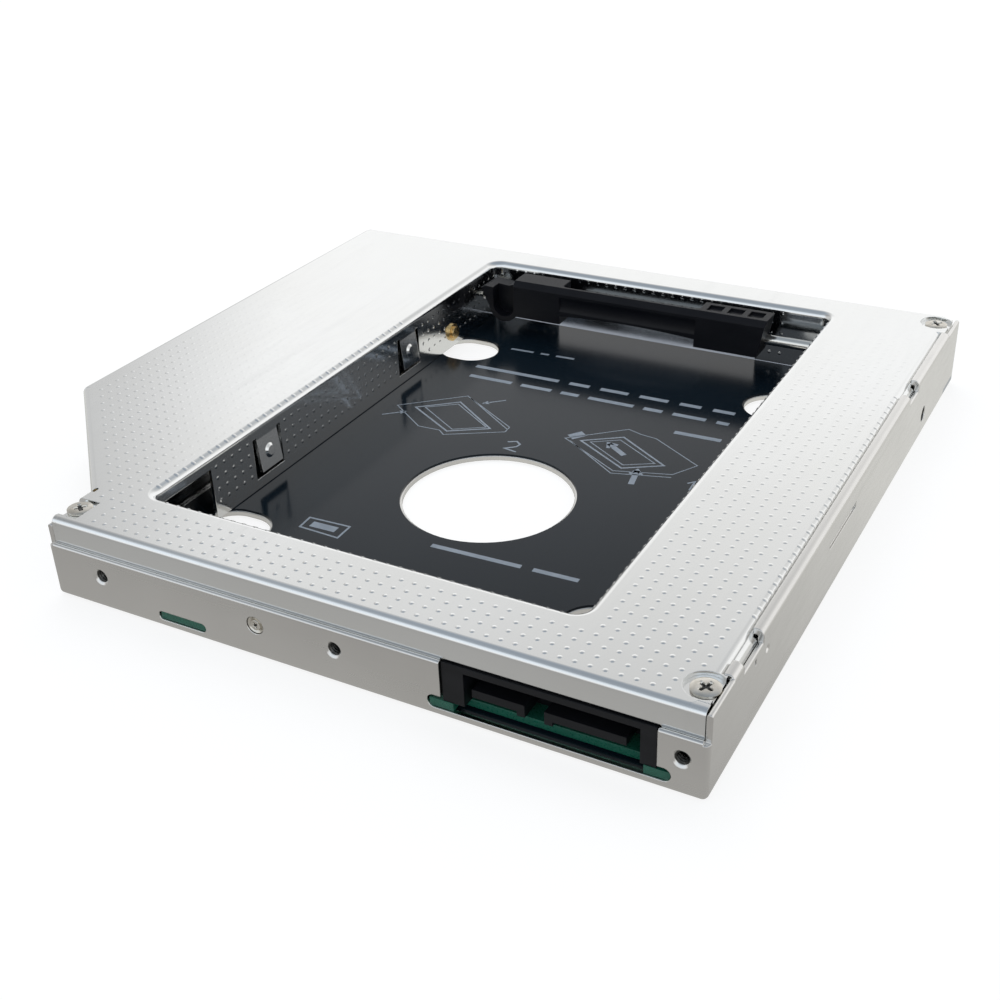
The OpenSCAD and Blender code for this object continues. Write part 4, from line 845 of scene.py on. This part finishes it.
def makeWorld():
    # pale studio: bright low behind the case, dimmer overhead and to the left, a bright screen in front
    world = bpy.data.worlds.new("paleStudio")
    bpy.context.scene.world = world
    world.use_nodes = True
    tree = world.node_tree
    tree.nodes.clear()
    way = tree.nodes.new("ShaderNodeTexCoord")
    split = tree.nodes.new("ShaderNodeSeparateXYZ")
    tree.links.new(way.outputs["Generated"], split.inputs["Vector"])
    behind = stops(tree, split.outputs["Z"], worldLook["behind"])
    leftDim = between(tree, split.outputs["X"], worldLook["leftShare"], 1.0, *worldLook["leftRange"])
    shaded = tree.nodes.new("ShaderNodeVectorMath")
    shaded.operation = "SCALE"
    tree.links.new(behind, shaded.inputs[0])
    tree.links.new(leftDim, shaded.inputs["Scale"])
    front = stops(tree, split.outputs["Z"], worldLook["front"])
    toFront = between(tree, split.outputs["Y"], 1.0, 0.0, *worldLook["frontRange"])
    both = tree.nodes.new("ShaderNodeMix")
    both.data_type = "RGBA"
    tree.links.new(toFront, both.inputs["Factor"])
    tree.links.new(shaded.outputs["Vector"], both.inputs["A"])
    tree.links.new(front, both.inputs["B"])
    around = tree.nodes.new("ShaderNodeBackground")
    around.inputs["Strength"].default_value = worldLook["strength"]
    tree.links.new(both.outputs["Result"], around.inputs["Color"])
    plain = tree.nodes.new("ShaderNodeBackground")
    plain.inputs["Color"].default_value = (1, 1, 1, 1)
    ray = tree.nodes.new("ShaderNodeLightPath")
    out = tree.nodes.new("ShaderNodeOutputWorld")
    tree.links.new(mixShaders(tree, ray.outputs["Is Camera Ray"], around.outputs["Background"],
                              plain.outputs["Background"]), out.inputs["Surface"])


def areaLamp(name, place, target, size, power, tone):
    data = bpy.data.lights.new(name, "AREA")
    data.size = size
    data.energy = power
    data.color = tone
    lamp = bpy.data.objects.new(name, data)
    lamp.visible_glossy = False
    lamp.location = place
    way = np.array(target) - np.array(place)
    flat = math.hypot(way[0], way[1])
    lamp.rotation_euler = (math.atan2(flat, -way[2]), 0, math.atan2(way[1], way[0]) - math.pi / 2)
    bpy.context.scene.collection.objects.link(lamp)


makeFloor()
makeWorld()
areaLamp("softOverhead", (-0.25, 0.35, 0.75), (0, 0, 0), 0.6, 2.2, (1.0, 1.0, 1.0))

view = {"place": (0.102858, -0.177298, 0.110531), "turn": (59.8892, 1.9554, 28.3998), "lens": 49.03}
camera = bpy.data.objects.new("camera", bpy.data.cameras.new("camera"))
camera.data.lens = view["lens"]
camera.data.sensor_width = 36.0
camera.data.clip_start = 0.005
camera.data.clip_end = 20.0
camera.location = view["place"]
camera.rotation_euler = [math.radians(a) for a in view["turn"]]
bpy.context.scene.collection.objects.link(camera)
bpy.context.scene.camera = camera
bpy.context.scene.view_settings.view_transform = "Standard"

print("stage, light and camera set")
